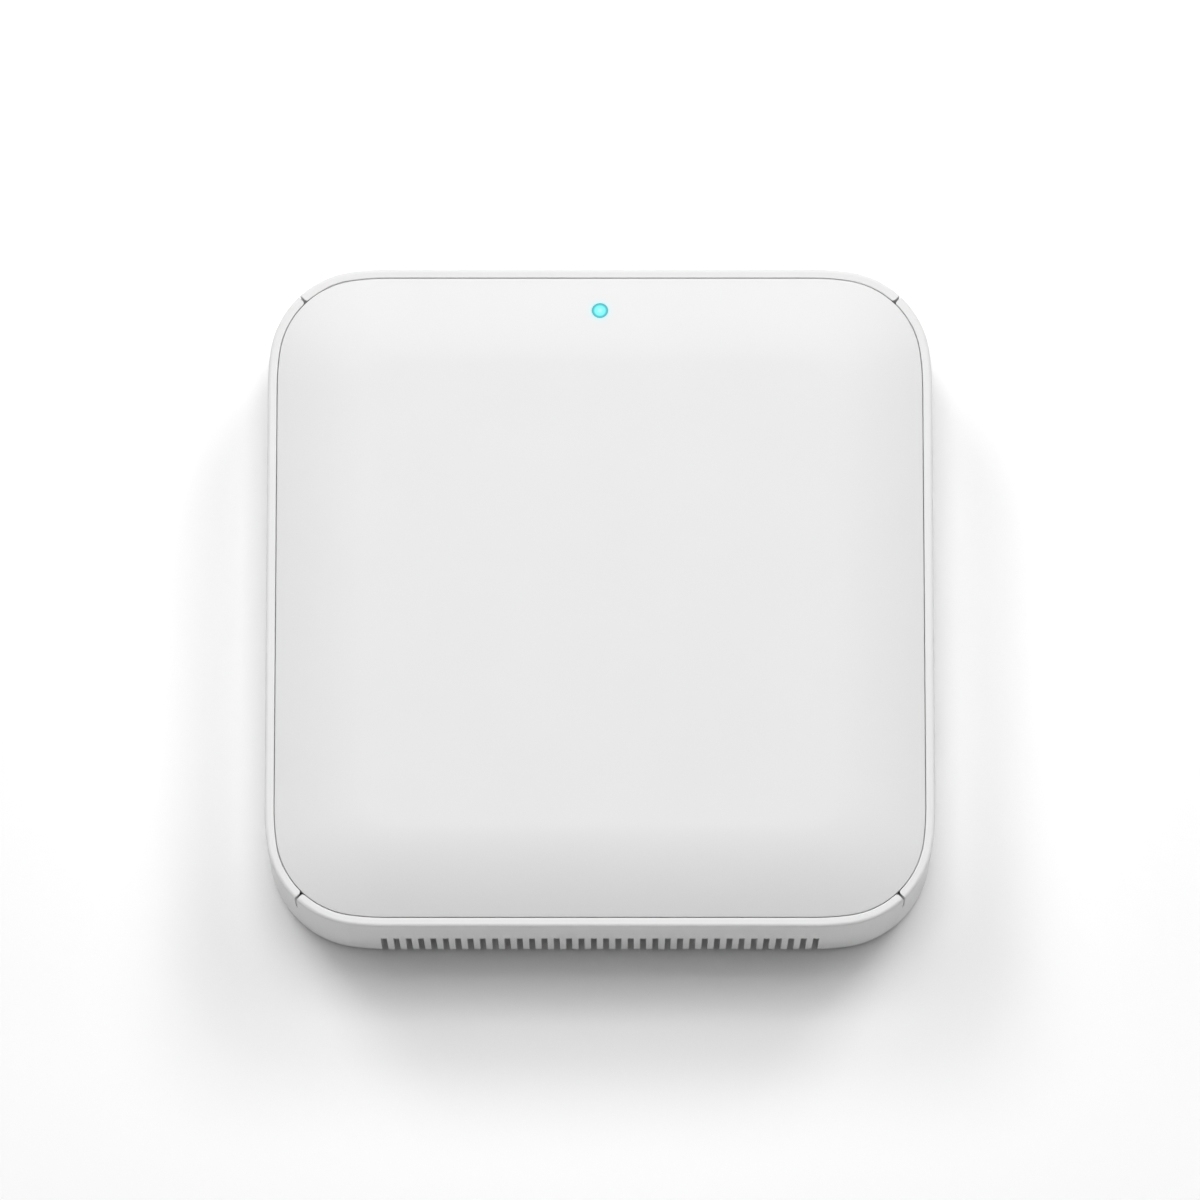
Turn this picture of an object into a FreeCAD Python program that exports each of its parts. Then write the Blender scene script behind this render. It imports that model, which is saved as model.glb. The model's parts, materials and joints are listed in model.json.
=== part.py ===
import FreeCAD, Part
import math
import os
import Sketcher

from FreeCAD import Vector

# A square smart home hub with a pillowed cover, a comb of vents, a status light,
# a network socket, a power inlet and two push switches. Millimetres, +Z up.
# The origin is under the middle of the hub, on the table that it stands on.
# +Y is the back wall with the sockets, and -Y is the front wall with the vents.

doc = FreeCAD.newDocument("SmartHub")

SIZES = {
    # Outline of the rim: each corner is a middle arc with a wider arc at each end.
    "width": 126.0,
    "corner_radius": 18.0,
    "lead_radius": 49.2,
    "lead_angle": 8.0,
    # Housing
    "floor_gap": 1.2,
    "wall_height": 30.0,
    "wall_draft": 1.0,
    "rim_width": 1.735,
    "rim_round": 0.7,
    "foot_round": 0.4,
    "ledge_width": 2.0,
    "ledge_thickness": 1.5,
    "slit_width": 0.46,
    "slit_depth": 10.0,
    "slit_shift": 0.45,
    "slit_flare": 0.5,
    "vent_count": 36,
    "vent_width": 1.15,
    "vent_pitch": 2.34,
    "vent_height": 14.8,
    # Cover
    "cover_gap": 0.13,
    "seam_round": 0.2,
    "cover_edge": 2.0,
    "cover_crown": 4.6,
    "crown_band": 17.0,
    "crown_power": 1.7,
    "crown_inset_share": 0.65,
    "cover_wall": 2.0,
    "flange_width": 4.0,
    "snap_width": 8.0,
    "snap_thickness": 1.4,
    "snap_drop": 4.0,
    "snap_hook": 0.9,
    "snap_lip": 0.4,
    "snap_spread": 30.0,
    "snap_clearance": 0.2,
    # Base plate and what carries it
    "base_thickness": 2.0,
    "base_clearance": 0.2,
    "boss_inset": 13.0,
    "boss_diameter": 7.0,
    "boss_height": 14.8,
    "boss_bore_spare": 2.0,
    "rib_thickness": 1.5,
    "cup_diameter": 9.0,
    "cup_height": 2.0,
    "screw_shank": 3.0,
    "screw_length": 8.0,
    "screw_head": 5.6,
    "screw_head_height": 2.0,
    "screw_recess": 0.4,
    "screw_clearance": 0.3,
    "thread_clearance": 0.05,
    "screw_crown": 0.7,
    "screw_bevel": 0.4,
    "cross_arm": 1.4,
    "cross_web": 0.35,
    "cross_depth": 1.0,
    "foot_inset": 23.0,
    "foot_diameter": 12.0,
    "foot_recess": 0.8,
    "foot_clearance": 0.1,
    "keyhole_spacing": 60.0,
    "keyhole_entry": 8.0,
    "keyhole_slot": 4.2,
    "keyhole_travel": 8.0,
    "keyhole_pocket": 3.0,
    "keyhole_wall": 1.2,
    "keyhole_room": 0.6,
    "label_width": 50.0,
    "label_height": 24.0,
    "label_thickness": 0.15,
    "label_recess": 0.3,
    "label_margin": 0.2,
    "label_offset": 30.0,
    "base_vent_count": 9,
    "base_vent_width": 1.6,
    "base_vent_length": 26.0,
    "base_vent_pitch": 4.4,
    "base_vent_offset": 32.0,
    # Main board
    "board_side_margin": 18.0,
    "board_back_margin": 4.5,
    "board_front_margin": 23.0,
    "board_corner": 2.0,
    "board_thickness": 1.6,
    "board_lift": 4.8,
    "standoff_diameter": 6.0,
    "board_screw_inset": 4.5,
    "board_screw_back": 6.5,
    "board_screw_front": 5.0,
    "board_screw_shank": 2.5,
    "board_screw_length": 6.0,
    "board_screw_head": 4.7,
    "board_screw_head_height": 1.6,
    # Status light
    "light_inset": 8.65,
    "light_diameter": 3.0,
    "light_fit": 0.05,
    "light_boss": 5.6,
    "light_boss_drop": 4.0,
    "lamp_width": 3.2,
    "lamp_depth": 2.8,
    "lamp_height": 1.0,
    "lamp_gap": 0.8,
    "sleeve_diameter": 6.0,
    "sleeve_bore": 4.6,
    "sleeve_height": 6.5,
    "collar_diameter": 4.6,
    "collar_height": 1.0,
    # Network socket
    "jack_from_edge": 17.0,
    "jack_width": 15.9,
    "jack_height": 13.5,
    "jack_length": 21.3,
    "jack_skin": 0.3,
    "jack_fit": 0.05,
    "transformer_gap": 2.0,
    "chip_bevel": 0.4,
    "port_recess": 0.8,
    "port_clearance": 0.2,
    "plug_width": 11.9,
    "plug_height": 6.8,
    "plug_depth": 14.0,
    "latch_width": 6.3,
    "latch_height": 2.2,
    "latch_floor": 2.2,
    "contact_count": 8,
    "contact_width": 0.4,
    "contact_pitch": 1.02,
    "contact_drop": 2.4,
    "contact_reach": 9.0,
    "contact_from_front": 2.5,
    "contact_root": 0.8,
    "contact_thickness": 0.4,
    "transformer_width": 12.7,
    "transformer_depth": 9.5,
    "transformer_height": 3.6,
    # Power inlet
    "inlet_from_edge": 15.0,
    "inlet_width": 8.94,
    "inlet_height": 3.16,
    "inlet_length": 7.35,
    "inlet_skin": 0.3,
    "inlet_clearance": 0.32,
    "tongue_width": 6.7,
    "tongue_thickness": 0.7,
    "tongue_length": 5.0,
    "tongue_root": 1.2,
    "tongue_fit": 0.05,
    # Push switches
    "reset_from_inlet": 10.0,
    "pair_from_reset": 7.0,
    "switch_axis": 3.4,
    "switch_width": 6.0,
    "switch_depth": 3.5,
    "switch_setback": 0.5,
    "plunger_diameter": 3.4,
    "plunger_fit": 0.1,
    "plunger_reach": 1.2,
    "plunger_root": 1.0,
    "plunger_room": 0.8,
    "button_diameter": 5.8,
    "button_clearance": 0.2,
    "button_proud": 0.12,
    "button_flange": 8.5,
    "button_flange_thickness": 1.0,
    "button_stem": 3.0,
    "pinhole_diameter": 1.5,
    # Chips and radios
    "chip_from_back": 46.0,
    "processor_width": 17.0,
    "processor_height": 1.4,
    "pad_thickness": 1.0,
    "sink_width": 32.0,
    "sink_base": 2.0,
    "sink_height": 11.0,
    "fin_count": 8,
    "fin_thickness": 1.2,
    "memory_from_edge": 12.0,
    "memory_width": 9.0,
    "memory_depth": 12.5,
    "memory_height": 1.0,
    "memory_pitch": 15.0,
    "memory_from_front": 31.0,
    "flash_width": 11.5,
    "flash_depth": 13.0,
    "flash_from_front": 16.0,
    "can_wall": 0.3,
    "wifi_from_edge": 9.0,
    "wifi_from_back": 43.0,
    "wifi_width": 16.5,
    "wifi_depth": 24.0,
    "wifi_height": 2.2,
    "radio_from_edge": 6.0,
    "radio_from_front": 9.5,
    "radio_width": 15.0,
    "radio_depth": 20.0,
    "radio_thickness": 0.8,
    "radio_can_width": 12.5,
    "radio_can_depth": 13.0,
    "radio_can_height": 2.0,
    "radio_can_margin": 1.0,
    "crystal_width": 5.0,
    "crystal_depth": 3.2,
    "crystal_height": 1.2,
    "crystal_from_chip": 20.5,
    "supply_shift": 3.0,
    "coil_width": 7.0,
    "coil_height": 3.6,
    "coil_round": 1.0,
    "coil_pitch": 9.5,
    "coil_from_back": 15.0,
    "can_diameter": 6.3,
    "can_height": 7.7,
    "can_pitch": 8.0,
    "can_from_back": 25.0,
    # Antennas
    "antenna_length": 34.0,
    "antenna_height": 12.0,
    "antenna_thickness": 0.8,
    "antenna_lift": 9.0,
    "lead_diameter": 1.2,
    "lead_bend": 3.2,
    "lead_start": 8.0,
    "lead_run": 8.0,
    "lead_level": 1.2,
    "antenna_plug_from_edge": 6.0,
    "antenna_plug_from_front": 34.0,
    "antenna_plug_diameter": 3.0,
    "antenna_plug_height": 1.9,
    "antenna_plug_barrel": 2.4,
    "lead_crimp": 0.2,
}

# Places that several pieces share, as expressions of the driving sizes.
HALF = "(Sizes.width / 2)"
RIM_TOP = "(Sizes.floor_gap + Sizes.wall_height)"
LEDGE_TOP = f"({RIM_TOP} - Sizes.cover_edge)"
LEDGE_FLOOR = f"({LEDGE_TOP} - Sizes.ledge_thickness)"
INNER_WALL = f"({HALF} - Sizes.rim_width)"
COVER_INSET = "(Sizes.rim_width + Sizes.cover_gap)"
COVER_HALF = f"({HALF} - {COVER_INSET})"
COVER_TOP = f"({RIM_TOP} + Sizes.cover_crown)"
BASE_TOP = "(Sizes.floor_gap + Sizes.base_thickness)"
CUP_TOP = f"({BASE_TOP} + Sizes.cup_height)"
BOSS_PLACE = f"({HALF} - Sizes.boss_inset)"
FOOT_PLACE = f"({HALF} - Sizes.foot_inset)"
HEAD_FLOOR = "(Sizes.floor_gap + Sizes.screw_recess)"
HEAD_TOP = f"({HEAD_FLOOR} + Sizes.screw_head_height)"
BOARD_SIDE = f"({HALF} - Sizes.board_side_margin)"
BOARD_BACK = f"({HALF} - Sizes.board_back_margin)"
BOARD_FRONT = f"(Sizes.board_front_margin - {HALF})"
BOARD_FLOOR = f"({BASE_TOP} + Sizes.board_lift)"
BOARD_TOP = f"({BOARD_FLOOR} + Sizes.board_thickness)"
LIGHT_PLACE = f"({HALF} - Sizes.light_inset)"
PORT_FRONT = f"({HALF} - Sizes.port_recess)"
JACK_PLACE = f"(Sizes.jack_from_edge - {BOARD_SIDE})"
INLET_PLACE = f"({BOARD_SIDE} - Sizes.inlet_from_edge)"
INLET_AXIS = f"({BOARD_TOP} + Sizes.inlet_height / 2)"
SUPPLY_PLACE = f"({INLET_PLACE} - Sizes.supply_shift)"
RESET_PLACE = f"({INLET_PLACE} - Sizes.reset_from_inlet)"
PAIR_PLACE = f"({RESET_PLACE} - Sizes.pair_from_reset)"
SWITCH_AXIS = f"({BOARD_TOP} + Sizes.switch_axis)"
SWITCH_FRONT = f"({BOARD_BACK} - Sizes.switch_setback)"
PLUNGER_TIP = f"({SWITCH_FRONT} + Sizes.plunger_reach)"
CHIP_PLACE = f"({BOARD_BACK} - Sizes.chip_from_back)"
PAD_FLOOR = f"({BOARD_TOP} + Sizes.processor_height)"
SINK_FLOOR = f"({PAD_FLOOR} + Sizes.pad_thickness)"
LEAD_LEVEL = f"({BOARD_TOP} + Sizes.lead_level)"
ANTENNA_FACE = f"({INNER_WALL} - Sizes.antenna_thickness)"

# The cover's height falls from its crown to its edge as a power of the step,
# where the step goes from 0 at the inner side of the crown band to 1 at the edge.
LIGHT_STEP = f"(1 - ({COVER_HALF} - {LIGHT_PLACE}) / Sizes.crown_band)"
LIGHT_TOP = f"({RIM_TOP} + Sizes.cover_crown * (1 - {LIGHT_STEP} ^ Sizes.crown_power))"
LIGHT_SLOPE = (f"(Sizes.crown_power * Sizes.cover_crown * {LIGHT_STEP} ^ (Sizes.crown_power - 1)"
               " / Sizes.crown_band)")
CROWN_STEPS = 8

# The corner's middle arc has its centre on the diagonal, at this distance along each axis.
BEND_MIDDLE = (f"({HALF} - Sizes.lead_radius"
               " + (Sizes.lead_radius - Sizes.corner_radius) * cos(Sizes.lead_angle))")

# How far a cut runs past what it cuts.
SPARE = "1"

sheet = doc.addObject("Spreadsheet::Sheet", "Sizes")
for row, (word, number) in enumerate(SIZES.items(), 1):
    sheet.set(f"A{row}", word)
    sheet.set(f"B{row}", str(number))
    sheet.setAlias(f"B{row}", word)
doc.recompute()

sub_parts = []


def value(expression):
    """The number that an expression of the sheet's sizes gives."""
    return float(sheet.evalExpression(expression))


def new_body(label, several=False):
    """A body whose label is its sub-part's name; several allows separate solids."""
    body = doc.addObject("PartDesign::Body", label)
    body.Label = label
    body.AllowCompound = several
    body.Placement = FreeCAD.Placement()
    sub_parts.append(body)
    return body


def origin_part(body, role):
    return next(item for item in body.Origin.OriginFeatures if item.Role == role)


def new_sketch(body, name, role, offset):
    """A sketch parallel to one of the body's own planes, offset along its normal."""
    sketch = body.newObject("Sketcher::SketchObject", name)
    sketch.AttachmentSupport = [(origin_part(body, role), "")]
    sketch.MapMode = "FlatFace"
    sketch.setExpression("AttachmentOffset.Base.z", offset)
    return sketch


def flat_sketch(body, name, height):
    """A sketch at a height, seen from above: a pad goes up and a pocket goes down."""
    return new_sketch(body, name, "XY_Plane", height)


def upright_sketch(body, name, place):
    """A sketch of X and Z at a place along Y: a pad goes to -Y and a pocket to +Y."""
    return new_sketch(body, name, "XZ_Plane", f"-({place})")


def side_sketch(body, name, place):
    """A sketch of Y and Z at a place along X: a pad goes to +X and a pocket to -X."""
    return new_sketch(body, name, "YZ_Plane", place)


def bind(sketch, constraint, expression):
    """Add a constraint whose size follows an expression."""
    index = sketch.addConstraint(constraint)
    name = f"size_{index}"
    sketch.renameConstraint(index, name)
    sketch.setExpression(f"Constraints.{name}", expression)


def place_point(sketch, geometry, point, across, along):
    """Hold a point of the geometry at two coordinates from the sketch's origin."""
    Constraint = Sketcher.Constraint
    bind(sketch, Constraint("DistanceX", -1, 1, geometry, point, value(across)), across)
    bind(sketch, Constraint("DistanceY", -1, 1, geometry, point, value(along)), along)


def polygon(sketch, points):
    """A closed loop of lines through points, each a pair of expressions."""
    spots = [Vector(value(across), value(along), 0) for across, along in points]
    count = len(spots)
    lines = [Part.LineSegment(spots[i], spots[(i + 1) % count]) for i in range(count)]
    first = sketch.addGeometry(lines, False)[0]
    for i in range(count):
        following = first + (i + 1) % count
        sketch.addConstraint(Sketcher.Constraint("Coincident", first + i, 2, following, 1))
    for i, (across, along) in enumerate(points):
        place_point(sketch, first + i, 1, across, along)


def rectangle(sketch, across, along, wide, high):
    """A rectangle about a middle point."""
    left = value(across) - value(wide) / 2
    low = value(along) - value(high) / 2
    right = left + value(wide)
    top = low + value(high)
    spots = [Vector(left, low, 0), Vector(right, low, 0), Vector(right, top, 0), Vector(left, top, 0)]
    lines = [Part.LineSegment(spots[i], spots[(i + 1) % 4]) for i in range(4)]
    first = sketch.addGeometry(lines, False)[0]
    Constraint = Sketcher.Constraint
    for i in range(4):
        sketch.addConstraint(Constraint("Coincident", first + i, 2, first + (i + 1) % 4, 1))
        sketch.addConstraint(Constraint("Vertical" if i % 2 else "Horizontal", first + i))
    place_point(sketch, first, 1, f"{across} - {wide} / 2", f"{along} - {high} / 2")
    bind(sketch, Constraint("DistanceX", first, 1, first, 2, value(wide)), wide)
    bind(sketch, Constraint("DistanceY", first + 1, 1, first + 1, 2, value(high)), high)


def circle(sketch, across, along, diameter):
    middle = Vector(value(across), value(along), 0)
    index = sketch.addGeometry(Part.Circle(middle, Vector(0, 0, 1), value(diameter) / 2), False)
    place_point(sketch, index, 3, across, along)
    bind(sketch, Sketcher.Constraint("Diameter", index, value(diameter)), diameter)


def stadium(sketch, across, along, wide, high):
    """Two lines joined by two half circles, about a middle point."""
    radius = value(high) / 2
    reach = value(wide) / 2 - radius
    x = value(across)
    y = value(along)
    right = Part.Arc(Vector(x + reach, y - radius, 0), Vector(x + reach + radius, y, 0),
                     Vector(x + reach, y + radius, 0))
    top = Part.LineSegment(Vector(x + reach, y + radius, 0), Vector(x - reach, y + radius, 0))
    left = Part.Arc(Vector(x - reach, y + radius, 0), Vector(x - reach - radius, y, 0),
                    Vector(x - reach, y - radius, 0))
    low = Part.LineSegment(Vector(x - reach, y - radius, 0), Vector(x + reach, y - radius, 0))
    first = sketch.addGeometry([right, top, left, low], False)[0]
    Constraint = Sketcher.Constraint
    for i in range(4):
        sketch.addConstraint(Constraint("Tangent", first + i, 2, first + (i + 1) % 4, 1))
    sketch.addConstraint(Constraint("Equal", first, first + 2))
    half = f"({wide} - {high}) / 2"
    place_point(sketch, first, 3, f"{across} + {half}", along)
    place_point(sketch, first + 2, 3, f"{across} - {half}", along)
    bind(sketch, Constraint("Radius", first, radius), f"{high} / 2")


def outline(sketch, inset, scale="1"):
    """The hub's square outline, set in from the rim's edge and then scaled.

    Each corner is three tangent arcs. The inset keeps their centres, so every
    outline runs at the same distance from the rim's edge all the way round.
    """
    half = f"{scale} * ({HALF} - {inset})"
    lead = f"{scale} * (Sizes.lead_radius - {inset})"
    bend = f"{scale} * (Sizes.corner_radius - {inset})"
    spread = "(Sizes.lead_radius - Sizes.corner_radius)"
    turn = "(cos(Sizes.lead_angle) - sin(Sizes.lead_angle))"
    start = f"{scale} * ({HALF} - Sizes.lead_radius + {spread} * {turn})"
    edge = value(half)
    begin = value(start)
    lead_arc = value(lead)
    bend_arc = value(bend)
    angle = math.radians(SIZES["lead_angle"])
    outer_middle = (begin, edge - lead_arc)
    inner_middle = (begin + (lead_arc - bend_arc) * math.sin(angle),
                    edge - lead_arc + (lead_arc - bend_arc) * math.cos(angle))
    quarter = math.pi / 2
    arcs = [
        (outer_middle, lead_arc, 0, angle),
        (inner_middle, bend_arc, angle, quarter - angle),
        ((edge - lead_arc, begin), lead_arc, quarter - angle, quarter),
    ]
    geometry = []
    for side in range(4):
        turned = FreeCAD.Rotation(Vector(0, 0, 1), -90 * side)

        def spot(middle, radius, bearing):
            x = middle[0] + radius * math.sin(bearing)
            y = middle[1] + radius * math.cos(bearing)
            return turned.multVec(Vector(x, y, 0))

        geometry.append(Part.LineSegment(spot((-begin, edge), 0, 0), spot((begin, edge), 0, 0)))
        for middle, radius, low, high in arcs:
            geometry.append(Part.Arc(spot(middle, radius, low), spot(middle, radius, (low + high) / 2),
                                     spot(middle, radius, high)))
    sketch.addGeometry(geometry, False)
    Constraint = Sketcher.Constraint
    for i in range(16):
        # An arc is stored anticlockwise, and the loop is drawn clockwise.
        leave = 2 if i % 4 == 0 else 1
        arrive = 1 if (i + 1) % 4 == 0 else 2
        sketch.addConstraint(Constraint("Tangent", i, leave, (i + 1) % 16, arrive))
    for side in range(4):
        across_axis = -2 if side % 2 == 0 else -1
        sketch.addConstraint(Constraint("Symmetric", 4 * side, 1, 4 * side, 2, across_axis))
    for side in range(1, 4):
        sketch.addConstraint(Constraint("Equal", 2, 4 * side + 2))
    for i in (3, 5, 7, 9, 11, 13, 15):
        sketch.addConstraint(Constraint("Equal", 1, i))
    bind(sketch, Constraint("Radius", 1, lead_arc), lead)
    bind(sketch, Constraint("Radius", 2, bend_arc), bend)
    ends = [(start, half), (half, f"-({start})"), (f"-({start})", f"-({half})"), (f"-({half})", start)]
    for side, (across, along) in enumerate(ends):
        place_point(sketch, 4 * side, 2, across, along)


def pad(body, name, sketch, length, reverse=False):
    feature = body.newObject("PartDesign::Pad", name)
    feature.Profile = sketch
    feature.setExpression("Length", length)
    feature.Reversed = reverse
    return feature


def pocket(body, name, sketch, length, reverse=False):
    feature = body.newObject("PartDesign::Pocket", name)
    feature.Profile = sketch
    feature.setExpression("Length", length)
    feature.Reversed = reverse
    return feature


def loft(body, name, sketches, cut=False):
    kind = "PartDesign::SubtractiveLoft" if cut else "PartDesign::AdditiveLoft"
    feature = body.newObject(kind, name)
    feature.Profile = sketches[0]
    feature.Sections = sketches[1:]
    return feature


def edges_where(feature, wanted):
    """Names of the feature's edges that a test picks."""
    return [f"Edge{i}" for i, edge in enumerate(feature.Shape.Edges, 1) if wanted(edge)]


def round_edges(body, name, radius, wanted):
    """Fillet the edges of the body's last feature that a test picks."""
    doc.recompute()
    base = body.Tip
    feature = body.newObject("PartDesign::Fillet", name)
    feature.Base = (base, edges_where(base, wanted))
    feature.setExpression("Radius", radius)
    return feature


def bevel_edges(body, name, size, wanted):
    """Chamfer the edges of the body's last feature that a test picks."""
    doc.recompute()
    base = body.Tip
    feature = body.newObject("PartDesign::Chamfer", name)
    feature.Base = (base, edges_where(base, wanted))
    feature.setExpression("Size", size)
    return feature


def is_level(edge, height):
    """True where the whole edge lies at the height that an expression gives."""
    box = edge.BoundBox
    level = value(height)
    return abs(box.ZMin - level) < 0.001 and abs(box.ZMax - level) < 0.001


def is_upright(edge):
    box = edge.BoundBox
    return box.XLength < 0.001 and box.YLength < 0.001


def turn_copies(body, name, features, count):
    """Repeat features round the upright axis."""
    pattern = body.newObject("PartDesign::PolarPattern", name)
    pattern.Originals = features
    pattern.Axis = (origin_part(body, "Z_Axis"), [""])
    pattern.Angle = 360
    pattern.Occurrences = count
    body.Tip = pattern
    return pattern


def row_copies(body, name, features, axis, pitch, count):
    """Repeat features in a row along one of the body's own axes."""
    pattern = body.newObject("PartDesign::LinearPattern", name)
    pattern.Originals = features
    pattern.Direction = (origin_part(body, axis), [""])
    pattern.Mode = "Spacing"
    pattern.setExpression("Offset", pitch)
    pattern.setExpression("Occurrences", count)
    body.Tip = pattern
    return pattern


def corner_places(across, along):
    """Four places mirrored about both axes."""
    return [(f"{i} * {across}", f"{j} * {along}") for i in (-1, 1) for j in (-1, 1)]


def board_screw_places():
    across = f"({BOARD_SIDE} - Sizes.board_screw_inset)"
    back = f"({BOARD_BACK} - Sizes.board_screw_back)"
    front = f"({BOARD_FRONT} + Sizes.board_screw_front)"
    return [(f"{i} * {across}", along) for i in (-1, 1) for along in (back, front)]


def block(body, name, across, along, wide, deep, floor, height):
    """A block that stands at a height, about a middle point seen from above."""
    sketch = flat_sketch(body, f"{name}_outline", floor)
    rectangle(sketch, across, along, wide, deep)
    return pad(body, name, sketch, height)


def rounds(body, name, places, diameter, floor, height):
    """Upright cylinders at several places."""
    sketch = flat_sketch(body, f"{name}_outline", floor)
    for across, along in places:
        circle(sketch, across, along, diameter)
    return pad(body, name, sketch, height)


def bores(body, name, places, diameter, floor, height):
    """Upright round holes at several places, from a floor up."""
    sketch = flat_sketch(body, f"{name}_outline", floor)
    for across, along in places:
        circle(sketch, across, along, diameter)
    return pocket(body, name, sketch, height, reverse=True)


def make_wall(body):
    """The wall, which spreads a little towards its foot, with its rounded rim and foot."""
    rim = flat_sketch(body, "rim_outline", RIM_TOP)
    outline(rim, "0")
    wall = pad(body, "wall", rim, "Sizes.wall_height", reverse=True)
    wall.setExpression("TaperAngle", "Sizes.wall_draft")
    round_edges(body, "rim_round", "Sizes.rim_round", lambda edge: is_level(edge, RIM_TOP))
    round_edges(body, "foot_round", "Sizes.foot_round", lambda edge: is_level(edge, "Sizes.floor_gap"))


def is_inside(edge, reach):
    """True where the edge keeps within a reach from the middle along X and Y."""
    box = edge.BoundBox
    return max(-box.XMin, box.XMax, -box.YMin, box.YMax) < value(reach) + 0.001


def make_hollow(body):
    """The space inside the wall, with the ledge that carries the cover."""
    room = flat_sketch(body, "room_outline", "Sizes.floor_gap")
    outline(room, "Sizes.rim_width")
    pocket(body, "room", room, f"{LEDGE_FLOOR} - Sizes.floor_gap", reverse=True)
    seat = flat_sketch(body, "seat_outline", RIM_TOP)
    outline(seat, "Sizes.rim_width")
    pocket(body, "seat", seat, "Sizes.cover_edge")
    round_edges(body, "seat_round", "Sizes.seam_round",
                lambda edge: is_level(edge, RIM_TOP) and is_inside(edge, INNER_WALL))
    mouth = flat_sketch(body, "mouth_outline", LEDGE_TOP)
    outline(mouth, "(Sizes.rim_width + Sizes.ledge_width)")
    pocket(body, "mouth", mouth, "Sizes.ledge_thickness")


def make_bosses(body):
    """Four screw bosses, each joined to its corner of the wall by a rib."""
    # The rib lies along the diagonal, from the boss to the middle of the wall.
    near = BOSS_PLACE
    far = f"({BEND_MIDDLE} + (Sizes.corner_radius - Sizes.rim_width / 2) * cos(45))"
    side = "(Sizes.rib_thickness / 2 * cos(45))"
    rib = flat_sketch(body, "rib_outline", CUP_TOP)
    polygon(rib, [
        (f"{near} + {side}", f"{near} - {side}"),
        (f"{far} + {side}", f"{far} - {side}"),
        (f"{far} - {side}", f"{far} + {side}"),
        (f"{near} - {side}", f"{near} + {side}"),
    ])
    ribs = pad(body, "rib", rib, "Sizes.boss_height")
    turn_copies(body, "ribs", [ribs], 4)
    places = corner_places(BOSS_PLACE, BOSS_PLACE)
    rounds(body, "bosses", places, "Sizes.boss_diameter", CUP_TOP, "Sizes.boss_height")
    bores(body, "boss_bores", places, "(Sizes.screw_shank + 2 * Sizes.thread_clearance)", CUP_TOP,
          "(Sizes.screw_length + Sizes.boss_bore_spare)")


def make_vents(body):
    """The comb of upright slots in the front wall, open at its foot."""
    sketch = upright_sketch(body, "vent_outline", f"-({HALF} + {SPARE})")
    first = "(-Sizes.vent_pitch * (Sizes.vent_count - 1) / 2)"
    top = "(Sizes.floor_gap + Sizes.vent_height)"
    low = f"(Sizes.floor_gap - {SPARE})"
    rectangle(sketch, first, f"(({top} + {low}) / 2)", "Sizes.vent_width", f"({top} - {low})")
    vent = pocket(body, "vent", sketch, f"Sizes.rim_width + 2 * {SPARE}")
    row_copies(body, "vents", [vent], "X_Axis", "Sizes.vent_pitch", "Sizes.vent_count")


def slit_loop(sketch, first, across_sign, along_sign):
    """One corner's slit: it crosses the rim a little beside the corner's diagonal."""
    inner = f"({BEND_MIDDLE} / cos(45) + Sizes.corner_radius - Sizes.rim_width)"
    outer = f"({inner} + Sizes.rim_width + {SPARE})"
    back = f"({inner} - Sizes.ledge_width - {SPARE})"
    neck = f"({inner} + Sizes.slit_flare)"
    half = "(Sizes.slit_width / 2)"
    wide = f"({half} + Sizes.slit_flare)"

    def place(outward, side):
        """A place by its distance along the diagonal, and across it towards the front or back wall."""
        sideways = f"({side} + Sizes.slit_shift)"
        return (f"{across_sign} * ({outward} - {sideways}) * cos(45)",
                f"{along_sign} * ({outward} + {sideways}) * cos(45)")

    def spot(outward, side):
        across, along = place(outward, side)
        return Vector(value(across), value(along), 0)

    marks = [(outer, f"-{half}"), (outer, half), (neck, half), (inner, wide),
             (back, wide), (back, f"-{wide}"), (inner, f"-{wide}"), (neck, f"-{half}")]
    spots = [spot(*mark) for mark in marks]
    rise = value("Sizes.slit_flare") * (1 - math.cos(math.pi / 4))
    upper = spot(f"({inner} + {rise})", f"({half} + {rise})")
    lower = spot(f"({inner} + {rise})", f"(-{half} - {rise})")
    sketch.addGeometry([
        Part.LineSegment(spots[0], spots[1]),
        Part.LineSegment(spots[1], spots[2]),
        Part.Arc(spots[2], upper, spots[3]),
        Part.LineSegment(spots[3], spots[4]),
        Part.LineSegment(spots[4], spots[5]),
        Part.LineSegment(spots[5], spots[6]),
        Part.Arc(spots[6], lower, spots[7]),
        Part.LineSegment(spots[7], spots[0]),
    ], False)
    # An arc's stored start is its end that comes first anticlockwise.
    line_ends = (1, 2)
    arc_ends = (2, 1) if across_sign == along_sign else (1, 2)
    ends = [arc_ends if i in (2, 6) else line_ends for i in range(8)]
    for i in range(8):
        following = (i + 1) % 8
        sketch.addConstraint(Sketcher.Constraint("Coincident", first + i, ends[i][1],
                                                 first + following, ends[following][0]))
    for i, mark in enumerate(marks):
        place_point(sketch, first + i, ends[i][0], *place(*mark))
    for i in (2, 6):
        bind(sketch, Sketcher.Constraint("Radius", first + i, SIZES["slit_flare"]), "Sizes.slit_flare")


def make_slits(body):
    """A fine slit across the rim at each corner, flared where it meets the cover."""
    sketch = flat_sketch(body, "slit_outline", RIM_TOP)
    for corner, (across_sign, along_sign) in enumerate([(1, 1), (-1, 1), (-1, -1), (1, -1)]):
        slit_loop(sketch, 8 * corner, across_sign, along_sign)
    pocket(body, "slits", sketch, "Sizes.slit_depth")


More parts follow.
